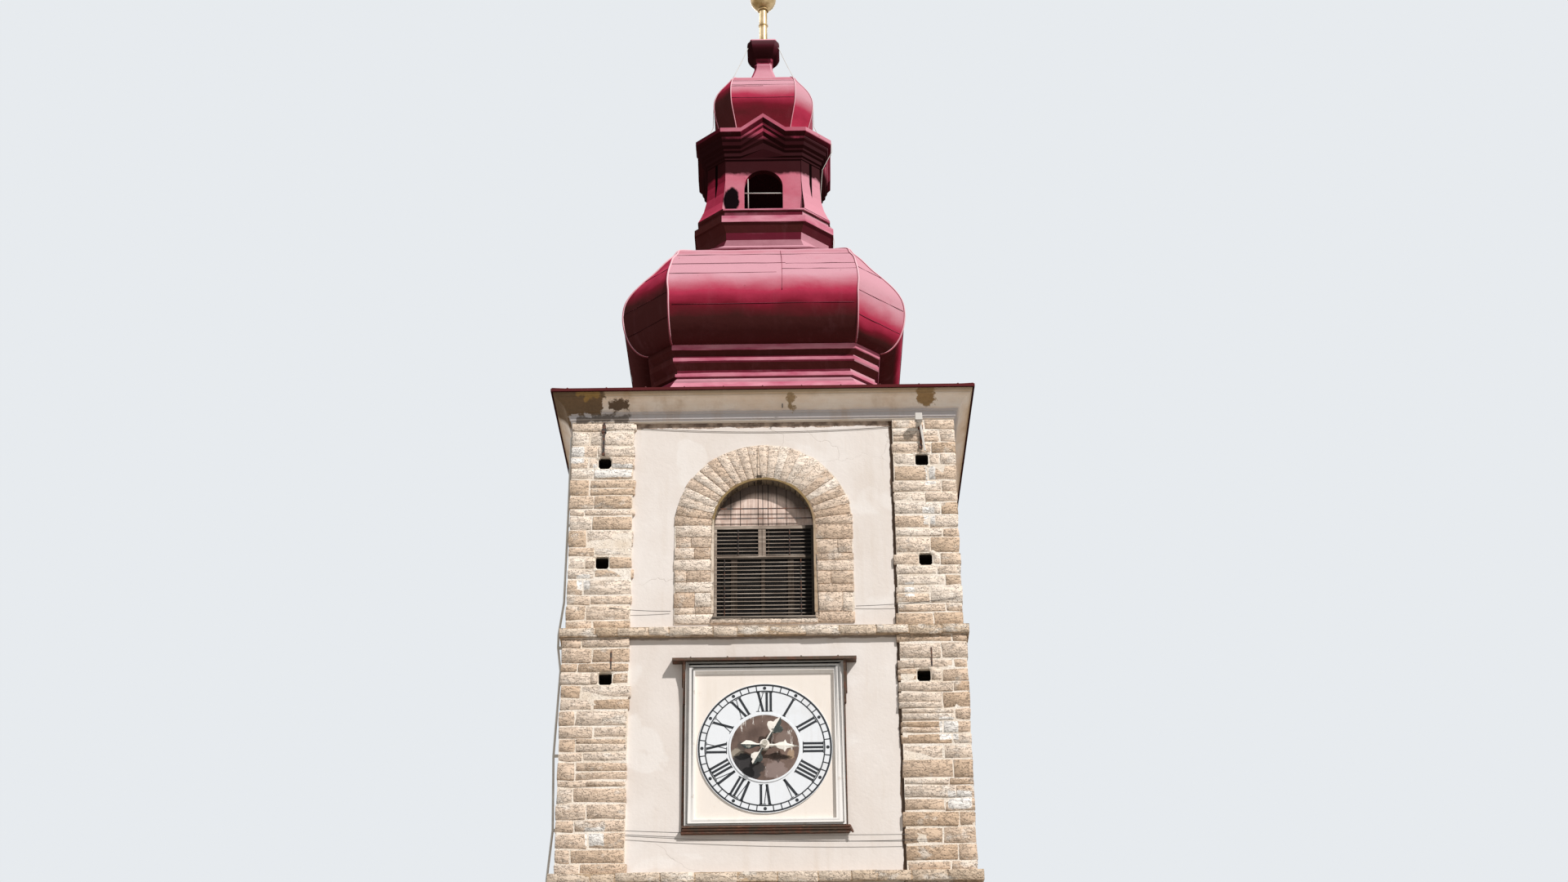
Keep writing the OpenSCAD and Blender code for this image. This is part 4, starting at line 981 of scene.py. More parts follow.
canopy_finish = finish_of("brown_sheet", brown_sheet, specular=0.4)
clothe("clock_canopy", canopy_finish)
canopy_parts = bmesh.new()
block(canopy_parts, (-1.70, -3.916, 16.722), (1.70, -3.895, 16.748), 0.002)
for k in range(5):
    x = -1.36 + 0.68 * k
    rib = block(canopy_parts, (x - 0.012, -3.905, 16.772), (x + 0.012, -3.70, 16.800), 0.001)
    for v in rib:
        v.co.z += (v.co.y + 3.905) * 0.26
side_strips = [(1.478, 16.72, 15.96, -3.83), (1.508, 16.70, 16.12, -3.77), (-1.478, 16.72, 16.04, -3.83),
               (-1.512, 16.70, 16.26, -3.77), (1.472, 16.0, 13.56, -3.775), (-1.480, 16.1, 13.50, -3.765),
               (-1.500, 15.9, 13.50, -3.74)]
for x, high, low, y in side_strips:
    strip = block(canopy_parts, (x - 0.010, y, low), (x + 0.010, -3.70, high), 0.004)
    for v in strip:
        if 15 < v.co.z < 16.4 and v.co.y < -3.74:
            v.co.y += 0.05
            v.co.z += 0.05
for left, right, low, high, front in ((-1.505, 1.515, 13.565, 13.600, -3.838),
                                      (-1.490, 1.540, 13.525, 13.565, -3.815),
                                      (-1.515, 1.500, 13.475, 13.525, -3.790)):
    block(canopy_parts, (left, front, low), (right, -3.69, high), 0.003)
for k in range(4):
    curl = Matrix.Translation((1.50 + 0.020 * k, -3.77 - 0.012 * k, 13.575 - 0.032 * k))
    curl = curl @ Matrix.Diagonal((1, 0.8, 1.1, 1))
    bmesh.ops.create_uvsphere(canopy_parts, u_segments=14, v_segments=8, radius=0.042 - 0.007 * k, matrix=curl)
worn(canopy_parts, 0.003, 0.03)
shown("canopy_folds", canopy_parts, canopy_finish, slot="canopy_sheet")

# Dial: a white disc with a black minute track and Roman numerals, whose feet all point to the middle, round a
# brown disc that is losing its paint. The figures are painted, so they stand out by the thickness of the paint.
dial_z, dial_r, dial_front = 15.07, 1.22, -3.77


def enamel(tree):
    """White paint of the dial, stained and with rain marks."""
    where = place(tree)
    overlay = spread(tree, speckle(tree, where, 1.8, 5, 0.6), 0.55, 0.75, 0, 0.35)
    colour = rained(tree, blend(tree, overlay, "E7EAEE", "CFCBC4"), 9.0, 0.12, "A8927A")
    return colour, 0.35, speckle(tree, where, 5.0, 2), 0.002


def peeling_brown(tree):
    """Brown paint that comes off in flakes, with blots of other tones, two of them painted shadow of the hour
    hand, and a dark line round its edge.
    """
    where = place(tree, (1, 1, 1), (0, 0, -dial_z))
    flakes = spread(tree, speckle(tree, place(tree, (7, 7, 1.6)), 1.6, 8, 0.70, 0.3), 0.60, 0.64)
    fade = speckle(tree, where, 3.0, 5, 0.6)
    colour = blend(tree, spread(tree, fade, 0.32, 0.68), "54423A", "7A655B")
    colour = blend(tree, flakes, colour, "D9D2CC")
    edge = times_plus(tree, speckle(tree, where, 5.0, 6, 0.65), 0.34, -0.17)
    # Each blot: where it lies from the middle, how far it reaches, its tone and how strongly; the two 33261F
    # blots right of and below the middle are painted shadow of the hour hand.
    for x, z, reach, tone, share in (
            (-0.50, -0.10, 0.12, "A39A8B", 0.75), (0.20, -0.40, 0.20, "9A8883", 0.6),
            (0.34, 0.16, 0.16, "8B7A72", 0.5), (0.46, -0.13, 0.09, "B59B80", 0.7),
            (-0.38, -0.40, 0.30, "262425", 0.97), (-0.09, -0.34, 0.11, "2E2A28", 0.92),
            (0.20, -0.16, 0.09, "33261F", 0.75), (0.36, -0.20, 0.08, "33261F", 0.75),
            (-0.42, 0.02, 0.10, "4A403A", 0.8), (0.02, 0.09, 0.10, "3A312C", 0.7)):
        off = add(tree, "VectorMath", {0: where, 1: (x, -3.782, z)}, operation="SUBTRACT").outputs[0]
        far = plus(tree, add(tree, "VectorMath", {0: off}, operation="LENGTH").outputs["Value"], edge)
        colour = blend(tree, spread(tree, far, reach, reach - 0.03, 0, share), colour, tone)
    rim = add(tree, "VectorMath", {0: place(tree, (1, 0, 1), (0, 0, -dial_z))},
              operation="LENGTH").outputs["Value"]
    colour = blend(tree, spread(tree, rim, 0.628, 0.636, 0, 0.85), colour, "342E2A")
    return colour, 0.6, times_plus(tree, flakes, -0.6, fade), 0.002


black_paint = blotched("191D22", "5C6064", (16.0, 5, 0.7), 0.62, 0.72, 0.5, 0.5, (30.0, 2), 0.001)
dial_white = finish_of("dial_enamel", enamel, coat=0.15, specular=0.4)
dial_brown = finish_of("dial_brown", peeling_brown)
dial_black = finish_of("dial_black", black_paint, specular=0.4)
clothe("clock_dial", dial_white)
clothe("dial_centre", dial_brown)


def band(mesh, inner, outer, front, thick, steps=128):
    """A flat ring round the middle of the dial."""
    back = front + thick
    section = ((inner, front), (outer, front), (outer, back), (inner, back))
    corners = [mesh.verts.new((r, y, 0)) for r, y in section]
    edges = [mesh.edges.new((corners[k], corners[(k + 1) % 4])) for k in range(4)]
    before = set(mesh.faces)
    spun(mesh, corners + edges, (0, 1, 0), steps)
    verts = list({v for f in set(mesh.faces) - before for v in f.verts})
    bmesh.ops.translate(mesh, verts=verts, vec=(0, 0, dial_z))


def round_dial(mesh, verts, degrees):
    """Takes a mark from twelve o'clock to its place."""
    swing(mesh, verts, math.radians(degrees), "Y")
    bmesh.ops.translate(mesh, verts=verts, vec=(0, 0, dial_z))


def stroke(mesh, x0, z0, x1, z1, wide):
    """One painted stroke from its foot to its head, cut level at both ends."""
    verts = block(mesh, (-0.5, dial_front - 0.003, 0), (0.5, dial_front + 0.001, 1))
    for v in verts:
        along = v.co.z
        v.co = Vector((x0 + (x1 - x0) * along + wide * v.co.x, v.co.y, z0 + (z1 - z0) * along))
    return verts


# Each letter's width, its strokes (where they stand at the foot and at the head, and how wide they are), where
# it has serifs at the foot and at the head, and how wide these are
letter_forms = {"I": (0.074, [(0, 0, 0.044)], [0], [0], 0.072),
                "V": (0.150, [(0.006, -0.046, 0.048), (0.006, 0.052, 0.014)], [], [-0.046, 0.052], 0.070),
                "X": (0.150, [(0.046, -0.046, 0.046), (-0.050, 0.050, 0.013)], [-0.048, 0.048], [-0.048, 0.048],
                      0.068)}


def figure(mesh, letters, degrees):
    """One numeral, its feet towards the middle, turned to its place."""
    foot, head, serif = dial_r * 0.565, dial_r * 0.875, 0.012
    x = -sum(letter_forms[letter][0] for letter in letters) / 2
    verts = []
    for letter in letters:
        width, strokes, low_ends, high_ends, across = letter_forms[letter]
        mid = x + width / 2
        for start, end, wide in strokes:
            verts += stroke(mesh, mid + start, foot, mid + end, head, wide)
        for ends, z in ((low_ends, foot), (high_ends, head - serif)):
            for at in ends:
                verts += stroke(mesh, mid + at, z, mid + at, z + serif, across)
        x += width
    round_dial(mesh, verts, degrees)


figures, rims = bmesh.new(), bmesh.new()
for k, letters in enumerate(("XII", "I", "II", "III", "IIII", "V", "VI", "VII", "VIII", "IX", "X", "XI")):
    figure(figures, letters, 30 * k)
for inner, outer in ((0.972, 0.999), (0.882, 0.900)):
    band(figures, dial_r * inner, dial_r * outer, dial_front - 0.003, 0.004)
dot_at = Matrix.Translation((0, dial_front - 0.001, dial_r * 0.938)) @ Matrix.Rotation(math.pi / 2, 4, "X")
for k in range(48):
    if k % 4:
        mark = stroke(figures, 0, dial_r * 0.895, 0, dial_r * 0.98, 0.018)
    else:
        mark = bmesh.ops.create_cone(figures, cap_ends=True, segments=20, radius1=0.031, radius2=0.031,
                                     depth=0.004, matrix=dot_at)["verts"]
    round_dial(figures, mark, 7.5 * k)
outward(figures)
shown("dial_figures", figures, dial_black, slot="dial_white")
band(rims, 0.622, 0.656, -3.785, 0.014)
band(rims, 1.219, 1.228, -3.776, 0.020)
outward(rims)
shown("dial_rims", rims, dial_white, slot="dial_white")

# Hands: two folded sheets of copper on an arbor, painted white. Each is creased along its middle, and on most
# ends the half that is turned from the light is dark green, as painted shade.


hand_paint = blotched("EFE9E0", "6C6A62", (7.0, 6, 0.65), 0.56, 0.62, 0.8, 0.5, (12.0, 3), 0.002)
shaded_copper = blotched("343C3A", "A9A79C", (11.0, 6, 0.7), 0.55, 0.66, 1.0, 0.6, (12.0, 3), 0.002)
hand_finish = finish_of("hand_paint", hand_paint)
hand_shaded_half = finish_of("hand_shaded_half", shaded_copper)


def leaf(mesh, points, reach, front, back, dark_side):
    """One end of a hand, pointing up: a closed sheet creased along its middle, from its right outline."""
    for side in (-1, 1):
        before = set(mesh.verts)
        ridge = [mesh.verts.new((0, front, d * reach)) for d, w in points]
        edge = [mesh.verts.new((side * w * reach, front + 0.012, d * reach)) if w else None for d, w in points]
        faces = []
        for k in range(len(points) - 1):
            faces.append(mesh.faces.new([ridge[k], ridge[k + 1]] + [v for v in (edge[k + 1], edge[k]) if v]))
            faces[-1].material_index = 1 if side == dark_side else 0
        for v in bmesh.ops.extrude_face_region(mesh, geom=faces)["geom"]:
            if isinstance(v, bmesh.types.BMVert):
                v.co.y = back
        outward(mesh, [f for f in mesh.faces if any(v not in before for v in f.verts)])


def hand(name, degrees, reach, head, tail, front, dark, dark_tail):
    """A hand with its boss, turned to its place; the dark side of each end is 1 right or -1 left."""
    mesh = bmesh.new()
    back = front + 0.026
    leaf(mesh, tail, reach, front, back, dark_tail)
    swing(mesh, mesh.verts[:], math.pi, "Y")
    leaf(mesh, head, reach, front, back, dark)
    round_dial(mesh, mesh.verts[:], degrees)
    band(mesh, 0.0306, 0.088, front + 0.001, 0.025, 48)
    band(mesh, 0.060, 0.078, front - 0.0005, 0.004, 48)
    shown(name + "_sheet", mesh, hand_finish, hand_shaded_half, body=name + "_body", slot="hand_white",
          stands_for=(name,))


hand("minute_hand", 30, 0.59,
     [(0.12, 0.042), (0.42, 0.042), (0.50, 0.16), (0.58, 0.25), (0.68, 0.27), (0.74, 0.20), (0.75, 0.12),
      (0.86, 0.10), (1, 0)],
     [(0.12, 0.042), (0.32, 0.042), (0.38, 0.15), (0.48, 0.20), (0.57, 0.16), (0.60, 0.08), (0.68, 0.07),
      (0.74, 0)],
     -3.994, 1, -1)
hand("hour_hand", 92.5, 0.61,
     [(0.12, 0.041), (0.30, 0.041), (0.44, 0.10), (0.55, 0.12), (0.60, 0.19), (0.66, 0.08), (0.80, 0.041),
      (1, 0)],
     [(0.12, 0.041), (0.24, 0.041), (0.42, 0.12), (0.56, 0.13), (0.72, 0)],
     -3.938, 0, -1)


def worn_brass(tree):
    """Brass gone dull, with darker blots."""
    where = place(tree)
    dull = spread(tree, speckle(tree, where, 10.0, 6, 0.65), 0.42, 0.66)
    rough = spread(tree, dull, 0, 1, 0.4, 0.7)
    return blend(tree, dull, "D6D0C4", "8A8478"), rough, speckle(tree, where, 18.0), 0.002


clothe("clock_arbor", finish_of("worn_brass", worn_brass, metal=0.3))

# Wall anchors: a forged bar with an eye over each of the upper pole holes, let into the stones, and the end of
# the tie behind it.
anchors = bmesh.new()
for x, low in ((-3.09, 21.06), (3.055, 21.13)):
    block(anchors, (x - 0.020, -3.752, low), (x + 0.020, -3.722, 21.745), 0.002)
    block(anchors, (x - 0.045, -3.760, 21.52), (x + 0.045, -3.700, 21.60), 0.004)
    block(anchors, (x - 0.030, -3.765, low - 0.03), (x + 0.030, -3.715, low + 0.04), 0.006)
for x in (-2.95, 2.98):
    block(anchors, (x + 0.10, -3.775, 16.62), (x + 0.125, -3.755, 16.98), 0.003)
block(anchors, (0.37, -3.92, 21.955), (0.39, -3.86, 21.975))
block(anchors, (0.37, -3.925, 21.94), (0.39, -3.91, 22.02), 0.001)
worn(anchors, 0.004, 0.02)
shown("wall_anchors", anchors, iron_finish, slot="stone")
bracket = bmesh.new()
block(bracket, (2.945, -3.99, 21.60), (3.085, -3.86, 21.75), 0.004)
block(bracket, (2.965, -3.95, 21.57), (3.065, -3.70, 21.605), 0.002)
stay = block(bracket, (3.03, -3.80, 21.02), (3.075, -3.78, 21.60), 0.002)
for v in stay:
    if v.co.z < 21.3:
        v.co.x += 0.07
worn(bracket, 0.006)
shown("wall_bracket", bracket, finish_of("bracket_paint", oil_paint("D5D0CA", "6F6963", 0.6)), slot="stone")

# Wires held to the walls: thin grey cables from pier to pier under the cornice, at the sill and under the
# clock, one down the right jamb of the front window, all with a little slack between their clips.


cable_finish = finish_of("white_cable", blotched("D9D6D0", "B9B4AC", (5.0,), 0, 1, 1, 0.6, (20.0,), 0.001))
grey_wire = finish_of("grey_wire", blotched("6F6964", "4A4541", (3.0,), 0, 1, 1, 0.5, (20.0,), 0.001))


def rods(name, lines, radius, material, slot, round_by=1, all_round=False):
    """Round bars or cables along lines of points, as one closed mesh; all_round repeats them on each side."""
    if all_round:
        lines = [[turn @ Vector(point) for point in line] for turn in quarter_turns for line in lines]
    path = bpy.data.curves.new(name + "_path", "CURVE")
    path.dimensions = "3D"
    path.bevel_depth = radius
    path.bevel_resolution = round_by
    path.use_fill_caps = True
    for line in lines:
        spline = path.splines.new("POLY")
        spline.points.add(len(line) - 1)
        for point, at in zip(spline.points, line):
            point.co = (*at, 1)
    holder = bpy.data.objects.new(name + "_path", path)
    scene.collection.objects.link(holder)
    made = bpy.data.meshes.new_from_object(holder.evaluated_get(bpy.context.evaluated_depsgraph_get()))
    bpy.data.objects.remove(holder)
    mesh = bmesh.new()
    mesh.from_mesh(made)
    bpy.data.meshes.remove(made)
    bmesh.ops.remove_doubles(mesh, verts=mesh.verts[:], dist=0.0001)
    outward(mesh)
    shown(name, mesh, material, slot=slot, smooth=True)


def hung(start, end, slack, steps=14):
    """A wire between two clips, with its belly slack metres lower."""
    shares = [k / steps for k in range(steps + 1)]
    return [Vector(start).lerp(Vector(end), t) - Vector((0, 0, slack * 4 * t * (1 - t))) for t in shares]


rods("wall_wires", [
    hung((-2.50, -3.655, 21.66), (2.50, -3.655, 21.62), 0.10),
    hung((-3.60, -3.73, 13.62), (2.55, -3.775, 13.42), 0.05),
    hung((-3.60, -3.73, 13.55), (3.10, -3.775, 13.33), 0.10),
    hung((-2.9, -3.73, 17.86), (-1.75, -3.672, 17.80), 0.02),
    hung((1.72, -3.675, 17.86), (3.6, -3.735, 17.98), 0.03)], 0.0055, grey_wire, "lead_metal")
window_line = [(0.965, -3.676, 19.72), (0.985, -3.676, 19.2), (1.0, -3.676, 18.6), (1.02, -3.676, 18.1),
               (1.03, -3.70, 17.70)]
rods("window_cable", [window_line], 0.007, grey_wire, "lead_metal")
clothe("lightning_lead", cable_finish)

# Cornice: plaster run on brick with a template, stained brown by rain from the gutterless eaves, and fallen off
# in patches at the left corner.


def stained_plaster(tree):
    """Plaster of the cornice, brown where the rain drips on it and fallen off at a corner."""
    where = place(tree)
    parts = axes(tree)
    rough = gritty(tree, 2.2, 0.25)
    cloudy = speckle(tree, place(tree, (1, 1, 2.5)), 0.9, 6, 0.62)
    colour = blend(tree, spread(tree, cloudy, 0.36, 0.66), "ECD6C2", "F6EADF")
    level = plus(tree, parts["Z"], times_plus(tree, speckle(tree, where, 2.0, 4), 0.06, -0.03))
    # The blue-grey band low on the cornice is painted light, the cool light of the sky; a pale band lies at its
    # foot; the ochre band at the top is partly a stain and partly painted shade under the eaves.
    for low, high, share, tone in ((21.97, 21.93, 0.85, "BDB9BC"), (21.775, 21.765, 0.8, "EADFD2"),
                                   (22.13, 22.20, 0.7, "A98A5E")):
        colour = blend(tree, spread(tree, level, low, high, 0, share), colour, tone)
    colour = rained(tree, colour, 2.2, 0.45, "A67F4C")
    front = spread(tree, parts["Y"], -3.2, -3.0, 1, 0)
    torn = times_plus(tree, speckle(tree, where, 3.4, 7, 0.68), 0.50, -0.25)
    for *box, tone in ((-4.3, -3.13, 21.88, 22.36, "7E664D"), (-3.02, -2.62, 21.96, 22.10, "6E5A48"),
                       (-3.66, -2.62, 21.74, 21.90, "857C76"), (-3.62, -3.22, 22.18, 22.32, "B08C54"),
                       (2.98, 3.34, 22.00, 22.30, "AB8B62"), (0.48, 0.58, 21.9, 22.2, "B59A78")):
        lost = times(tree, spread(tree, torn_box(tree, torn, *box), 0.02, -0.01), front)
        rubble = blend(tree, spread(tree, rough["Tone"], 0.7, 1.4, 0.35, 0), tone, "3F3023")
        colour = blend(tree, lost, colour, rubble)
    return colour, 0.9, rough["Height"], 0.016


clothe("cornice", finish_of("stained_plaster", stained_plaster))

# Eaves roof: painted sheet over boards, with a turned-down edge, standing folds up each slope and a roll on
# each hip. It runs up under the foot of the dome.


def sunny_side(tree, towards):
    """How far the surface faces a side."""
    normal = add(tree, "NewGeometry").outputs["Normal"]
    return add(tree, "VectorMath", {0: normal, 1: towards}, operation="DOT_PRODUCT").outputs["Value"]


def roof_paint(in_shade, deep, red, faded_and_lit, shift=0.0):
    """Old gloss paint on sheet, with painted light and shade: pink where it faces the light, partly bleached
    paint too, crimson below, and near black where it turns away from the light and looks down; streaked and
    patched all over."""
    def build(tree):
        down = lesser(tree, axes(tree, add(tree, "NewGeometry").outputs["Normal"])["Z"], 0.0)
        # Painted light and shade: the share of light is how far the surface faces the light, less where it
        # looks down.
        sunny = times_plus(tree, down, 0.45, sunny_side(tree, (0.62, -0.22, 0.75)))
        cloudy = speckle(tree, place(tree, (1, 1, 1.6)), 1.1, 5, 0.6, 0.3)
        sunny = plus(tree, sunny, times_plus(tree, cloudy, 0.34, -0.17 + shift))
        colour = blend(tree, spread(tree, sunny, -0.25, 0.05), in_shade, deep)
        colour = blend(tree, spread(tree, sunny, -0.01, 0.25), colour, red)
        colour = blend(tree, spread(tree, sunny, 0.26, 0.62), colour, faded_and_lit)
        colour = rained(tree, colour, 5.0, 0.05, faded_and_lit)
        spots = speckle(tree, place(tree, (1, 1, 1), (5, 2, 8)), 7.0, 6, 0.7)
        colour = blend(tree, spread(tree, spots, 0.67, 0.72, 0, 0.6), colour, "4A211D")
        rough = spread(tree, cloudy, 0.3, 0.7, 0.34, 0.52)
        return colour, rough, speckle(tree, place(tree), 3.0, 4, 0.45), 0.020
    return build


def painted(name, *colours, shift=0.0, overlay=None):
    """A finish of that paint, with a second function's painted shade and light, and other marks, laid over
    where one is given.
    """
    paint = roof_paint(*colours, shift)
    return finish_of(name, over(paint, overlay) if overlay else paint, specular=0.0)


roof_finish = painted("roof_paint", "482524", "7A1D2E", "AE3650", "C4919C")
eaves_finish = painted("eaves_paint", "3A1C1B", "442020", "5E2A2C", "9A6A6C")
clothe("eaves_roof", eaves_finish)
eaves, roof_top, fold_foot, rise = 4.12, 2.53, 22.322, 0.73 / 1.61
folds = []
for k in range(-5, 6):
    x = 0.76 * k
    top = max(roof_top, abs(x) + 0.01)
    folds.append([(x, -4.10, fold_foot), (x, -top, 22.315 + (eaves - top) * rise)])
folds.append([(-4.095, -4.095, fold_foot), (-roof_top, -roof_top, 23.045)])
rods("eaves_folds", folds, 0.014, eaves_finish, "eaves_sheet", all_round=True)
rods("eaves_edge", [[(-4.105, -4.105, 22.262), (4.105, -4.105, 22.262)]], 0.014, eaves_finish, "eaves_sheet",
     all_round=True)

# Drum under the dome: boards covered with sheet, bent over a few projecting fillets.


def banded(name, *bands):
    """The same paint, with painted light on the upright fillets that face the light and painted shade, near
    black, in the hollows between.
    """
    def lit_fillets(tree, colour):
        # Painted light: fillets that face the light turn pink.
        lit = spread(tree, sunny_side(tree, (0.62, -0.78, 0.0)), 0.20, 0.45)
        level = times_plus(tree, speckle(tree, place(tree), 0.9, 4, 0.6), 0.06, -0.03)
        level = plus(tree, axes(tree)["Z"], level)
        patchy = spread(tree, speckle(tree, place(tree, (1, 1, 3)), 1.4, 4), 0.35, 0.65)
        tone = blend(tree, patchy, "B55E75", "D08E9D")
        for low, high in bands:
            inside = times(tree, spread(tree, level, low - 0.008, low + 0.004),
                           spread(tree, level, high + 0.006, high - 0.006))
            colour = blend(tree, times(tree, inside, lit), colour, tone)
        return colour
    return painted(name, "482321", "55202A", "5E1E2C", "C48F9B", overlay=lit_fillets)


drum_finish = banded("drum_paint", (24.072, 24.25), (23.836, 23.908), (23.458, 23.597), (23.10, 23.342))
clothe("dome_drum", drum_finish)

# Main bulb: curved rafters and boards under painted sheets, lapped and nailed, with a half-round roll over each
# of the eight hips. The shoulders carry the lantern.
bulb_rings = [(2.39, 0.51, 24.19), (2.53, 0.635, 24.223), (2.66, 0.75, 24.319), (2.772, 0.849, 24.471),
              (2.858, 0.926, 24.67), (2.912, 0.974, 24.90), (2.93, 0.99, 25.15), (2.883, 0.921, 25.407),
              (2.741, 0.782, 25.663), (2.512, 0.564, 25.929), (2.269, 0.337, 26.177), (2.059, 0.158, 26.442),
              (1.897, 0.079, 26.646), (1.80, 0.030, 26.796), (1.58, 0.0495, 26.92)]


def eased(rings, steps=4):
    """More rings between the given ones, on a smooth line through them."""
    out = []
    for k in range(len(rings) - 1):
        p0, p1, p2, p3 = (Vector(rings[max(0, min(len(rings) - 1, k + j))]) for j in (-1, 0, 1, 2))
        for i in range(steps):
            t = i / steps
            out.append(tuple(0.5 * (2 * p1 + (p2 - p0) * t + (2 * p0 - 5 * p1 + 4 * p2 - p3) * t * t
                                    + (3 * p1 - p0 - 3 * p2 + p3) * t ** 3)))
    return out + [tuple(rings[-1])]


def corners(ring, out=0.0):
    """The eight corners of a square with its corners cut off, as a ring of a sheet roof has them."""
    half, corner_cut, z = ring
    a, b = half + out, half - corner_cut + out * 0.6
    return [Vector((x, y, z))
            for x, y in ((-b, -a), (b, -a), (a, -b), (a, b), (b, a), (-b, a), (-a, b), (-a, -b))]


def sheeted(name, rings, across, dent, node, seed, paint=roof_finish):
    """The sheet skin of a bulb: drawn up ring by ring, its panels divided and beaten a little uneven."""
    mesh = bmesh.new()
    ring = [mesh.verts.new(p) for p in corners(rings[0])]
    edges = [mesh.edges.new((ring[k], ring[(k + 1) % 8])) for k in range(8)]
    foot = list(edges)
    hips = []
    for step in rings[1:]:
        made = bmesh.ops.extrude_edge_only(mesh, edges=edges)["geom"]
        fresh = [v for v in made if isinstance(v, bmesh.types.BMVert)]
        for v in fresh:
            down = next(e.other_vert(v) for e in v.link_edges if e.other_vert(v) in ring)
            v.co = corners(step)[ring.index(down)]
        order = [next(v for v in fresh if any(e.other_vert(v) is r for e in v.link_edges)) for r in ring]
        hips += [next(e for e in v.link_edges if e.other_vert(v) is r) for v, r in zip(order, ring)]
        edges = [e for e in made if isinstance(e, bmesh.types.BMEdge) and all(v in fresh for v in e.verts)]
        ring = order
    for e in hips:
        e.smooth = False
    level_edges = [e for e in mesh.edges if e not in set(hips)]
    bmesh.ops.subdivide_edges(mesh, edges=level_edges, cuts=across, use_grid_fill=True)
    outward(mesh)
    mesh.normal_update()
    sharp = {v for e in mesh.edges if not e.smooth for v in e.verts}
    shift = Vector((seed, seed * 2, 0))
    moves = [(v, v.normal * dent * (noise.noise(v.co * 1.7 + shift) + 0.5 * noise.noise(v.co * 4.5 + shift)))
             for v in mesh.verts if v not in sharp and not v.is_boundary]
    for v, by in moves:
        v.co += by
    bmesh.ops.holes_fill(mesh, edges=[e for e in mesh.edges if e.is_boundary], sides=0)
    outward(mesh)
    shown(name, mesh, paint, slot="roof_sheet", stands_for=(node,), smooth=True)


def hip_lines(rings, out):
    """Lines up the eight hips."""
    return [[corners(r, out)[k] for r in rings] for k in range(8)]


def lap_line(rings, z, k, start, end, out=0.004):
    """The lapped edge of a sheet across side k at a height, from one share of the side's width to another."""
    low, high = next((low, high) for low, high in zip(rings, rings[1:]) if low[2] <= z <= high[2])
    at = corners(Vector(low).lerp(Vector(high), (z - low[2]) / (high[2] - low[2])), out)
    line = [at[k].lerp(at[(k + 1) % 8], start + (end - start) * i / 6) for i in range(7)]
    return [point + Vector((0, 0, dice.uniform(-0.006, 0.006))) for point in line]


bulb_fine = eased(bulb_rings)
sheeted("main_bulb_sheets", bulb_fine, 11, 0.010, "main_bulb", 1.0)
# The hip rolls get a paler copy of the roof paint, its painted light raised.
roll_finish = painted("roll_paint", "7A4248", "A8505F", "C47684", "DDB4BC", shift=0.30)
rods("main_bulb_rolls", hip_lines(bulb_fine, 0.004), 0.020, roll_finish, "roof_sheet")
laps = []
long_laps = [(26.60, 0.0, 1.0), (26.20, 0.0, 0.62), (26.16, 0.62, 1.0), (25.70, 0.0, 0.57),
             (25.86, 0.60, 1.0), (24.86, 0.02, 0.98)]
for k in range(0, 8, 2):
    laps += [lap_line(bulb_fine, z, k, start, end) for z, start, end in long_laps]
    sides = [corners(ring, 0.004) for ring in bulb_fine if 25.1 < ring[2] < 26.75]
    laps.append([side[k].lerp(side[(k + 1) % 8], 0.60) for side in sides])
for k in range(1, 8, 2):
    laps += [lap_line(bulb_fine, z, k, 0.03, 0.97) for z in (25.95, 25.15, 24.62)]
seam_finish = painted("seam_paint", "2A1212", "4A1620", "7E2F3F", "9A5A68")
rods("main_bulb_laps", laps, 0.0065, seam_finish, "roof_sheet", round_by=0)

# Lantern: an open timber turret covered with the same sheet, on a flared base, with an arch in each side, a
# pilaster at each corner and a cornice that rises to a gable over every arch. Iron rods cross the openings.


def lantern_shade_and_patch(tree, colour):
    """Painted shade: dark under the cornice and black inside the lantern; also a near-black oval patch low on
    the left pilaster in front.
    """
    parts = axes(tree)
    shade_level = times_plus(tree, speckle(tree, place(tree), 3.0, 4), 0.30, 28.90)
    colour = blend(tree, spread(tree, minus(tree, parts["Z"], shade_level), -0.03, 0.06, 0, 0.97), colour, "2C1112")
    wide, high = 0.17, 0.32
    oval = place(tree, (1 / wide, 0, 1 / high), (0.70 / wide, 0, -28.40 / high))
    oval = add(tree, "VectorMath", {0: oval}, operation="LENGTH").outputs["Value"]
    oval = times_plus(tree, speckle(tree, place(tree), 6.0, 4), 0.5, oval)
    front = spread(tree, parts["Y"], -1.0, -1.1)
    colour = blend(tree, times(tree, spread(tree, oval, 1.34, 1.16), front), colour, "150D10")
    inside = times(tree, spread(tree, from_middle(tree), 1.055, 1.065, 1, 0),
                   spread(tree, parts["Z"], 28.03, 28.06))
    return blend(tree, inside, colour, "0E0606")


clothe("lantern_base", banded("lantern_foot_paint", (27.675, 27.845), (28.012, 28.08)))
clothe("lantern_body", painted("lantern_paint", "3C1A1A", "8E2038", "B8405A", "CC8C9A", shift=0.22,
                               overlay=lantern_shade_and_patch))


def shaded_mouldings(tree, colour):
    """Painted shade: the mouldings under the cornice's outer fascia turn near black, while the fascia keeps the
    paint's painted light.
    """
    reach = times_plus(tree, speckle(tree, place(tree), 2.0, 5, 0.6), 0.16, from_middle(tree))
    low = spread(tree, axes(tree)["Z"], 30.05, 29.90)
    return blend(tree, times(tree, spread(tree, reach, 1.56, 1.50, 0, 0.97), low), colour, "281112")


clothe("lantern_cornice", painted("hood_paint", "321213", "5E1A28", "A43E56", "C48392", shift=0.20,
                                  overlay=shaded_mouldings))
rods("lantern_rails", [[(-0.43, -1.16, 28.62), (0.43, -1.16, 28.61)],
                       [(-0.33, -1.15, 28.18), (-0.34, -1.15, 29.02)]],
     0.012, cable_finish, "roof_sheet", all_round=True)

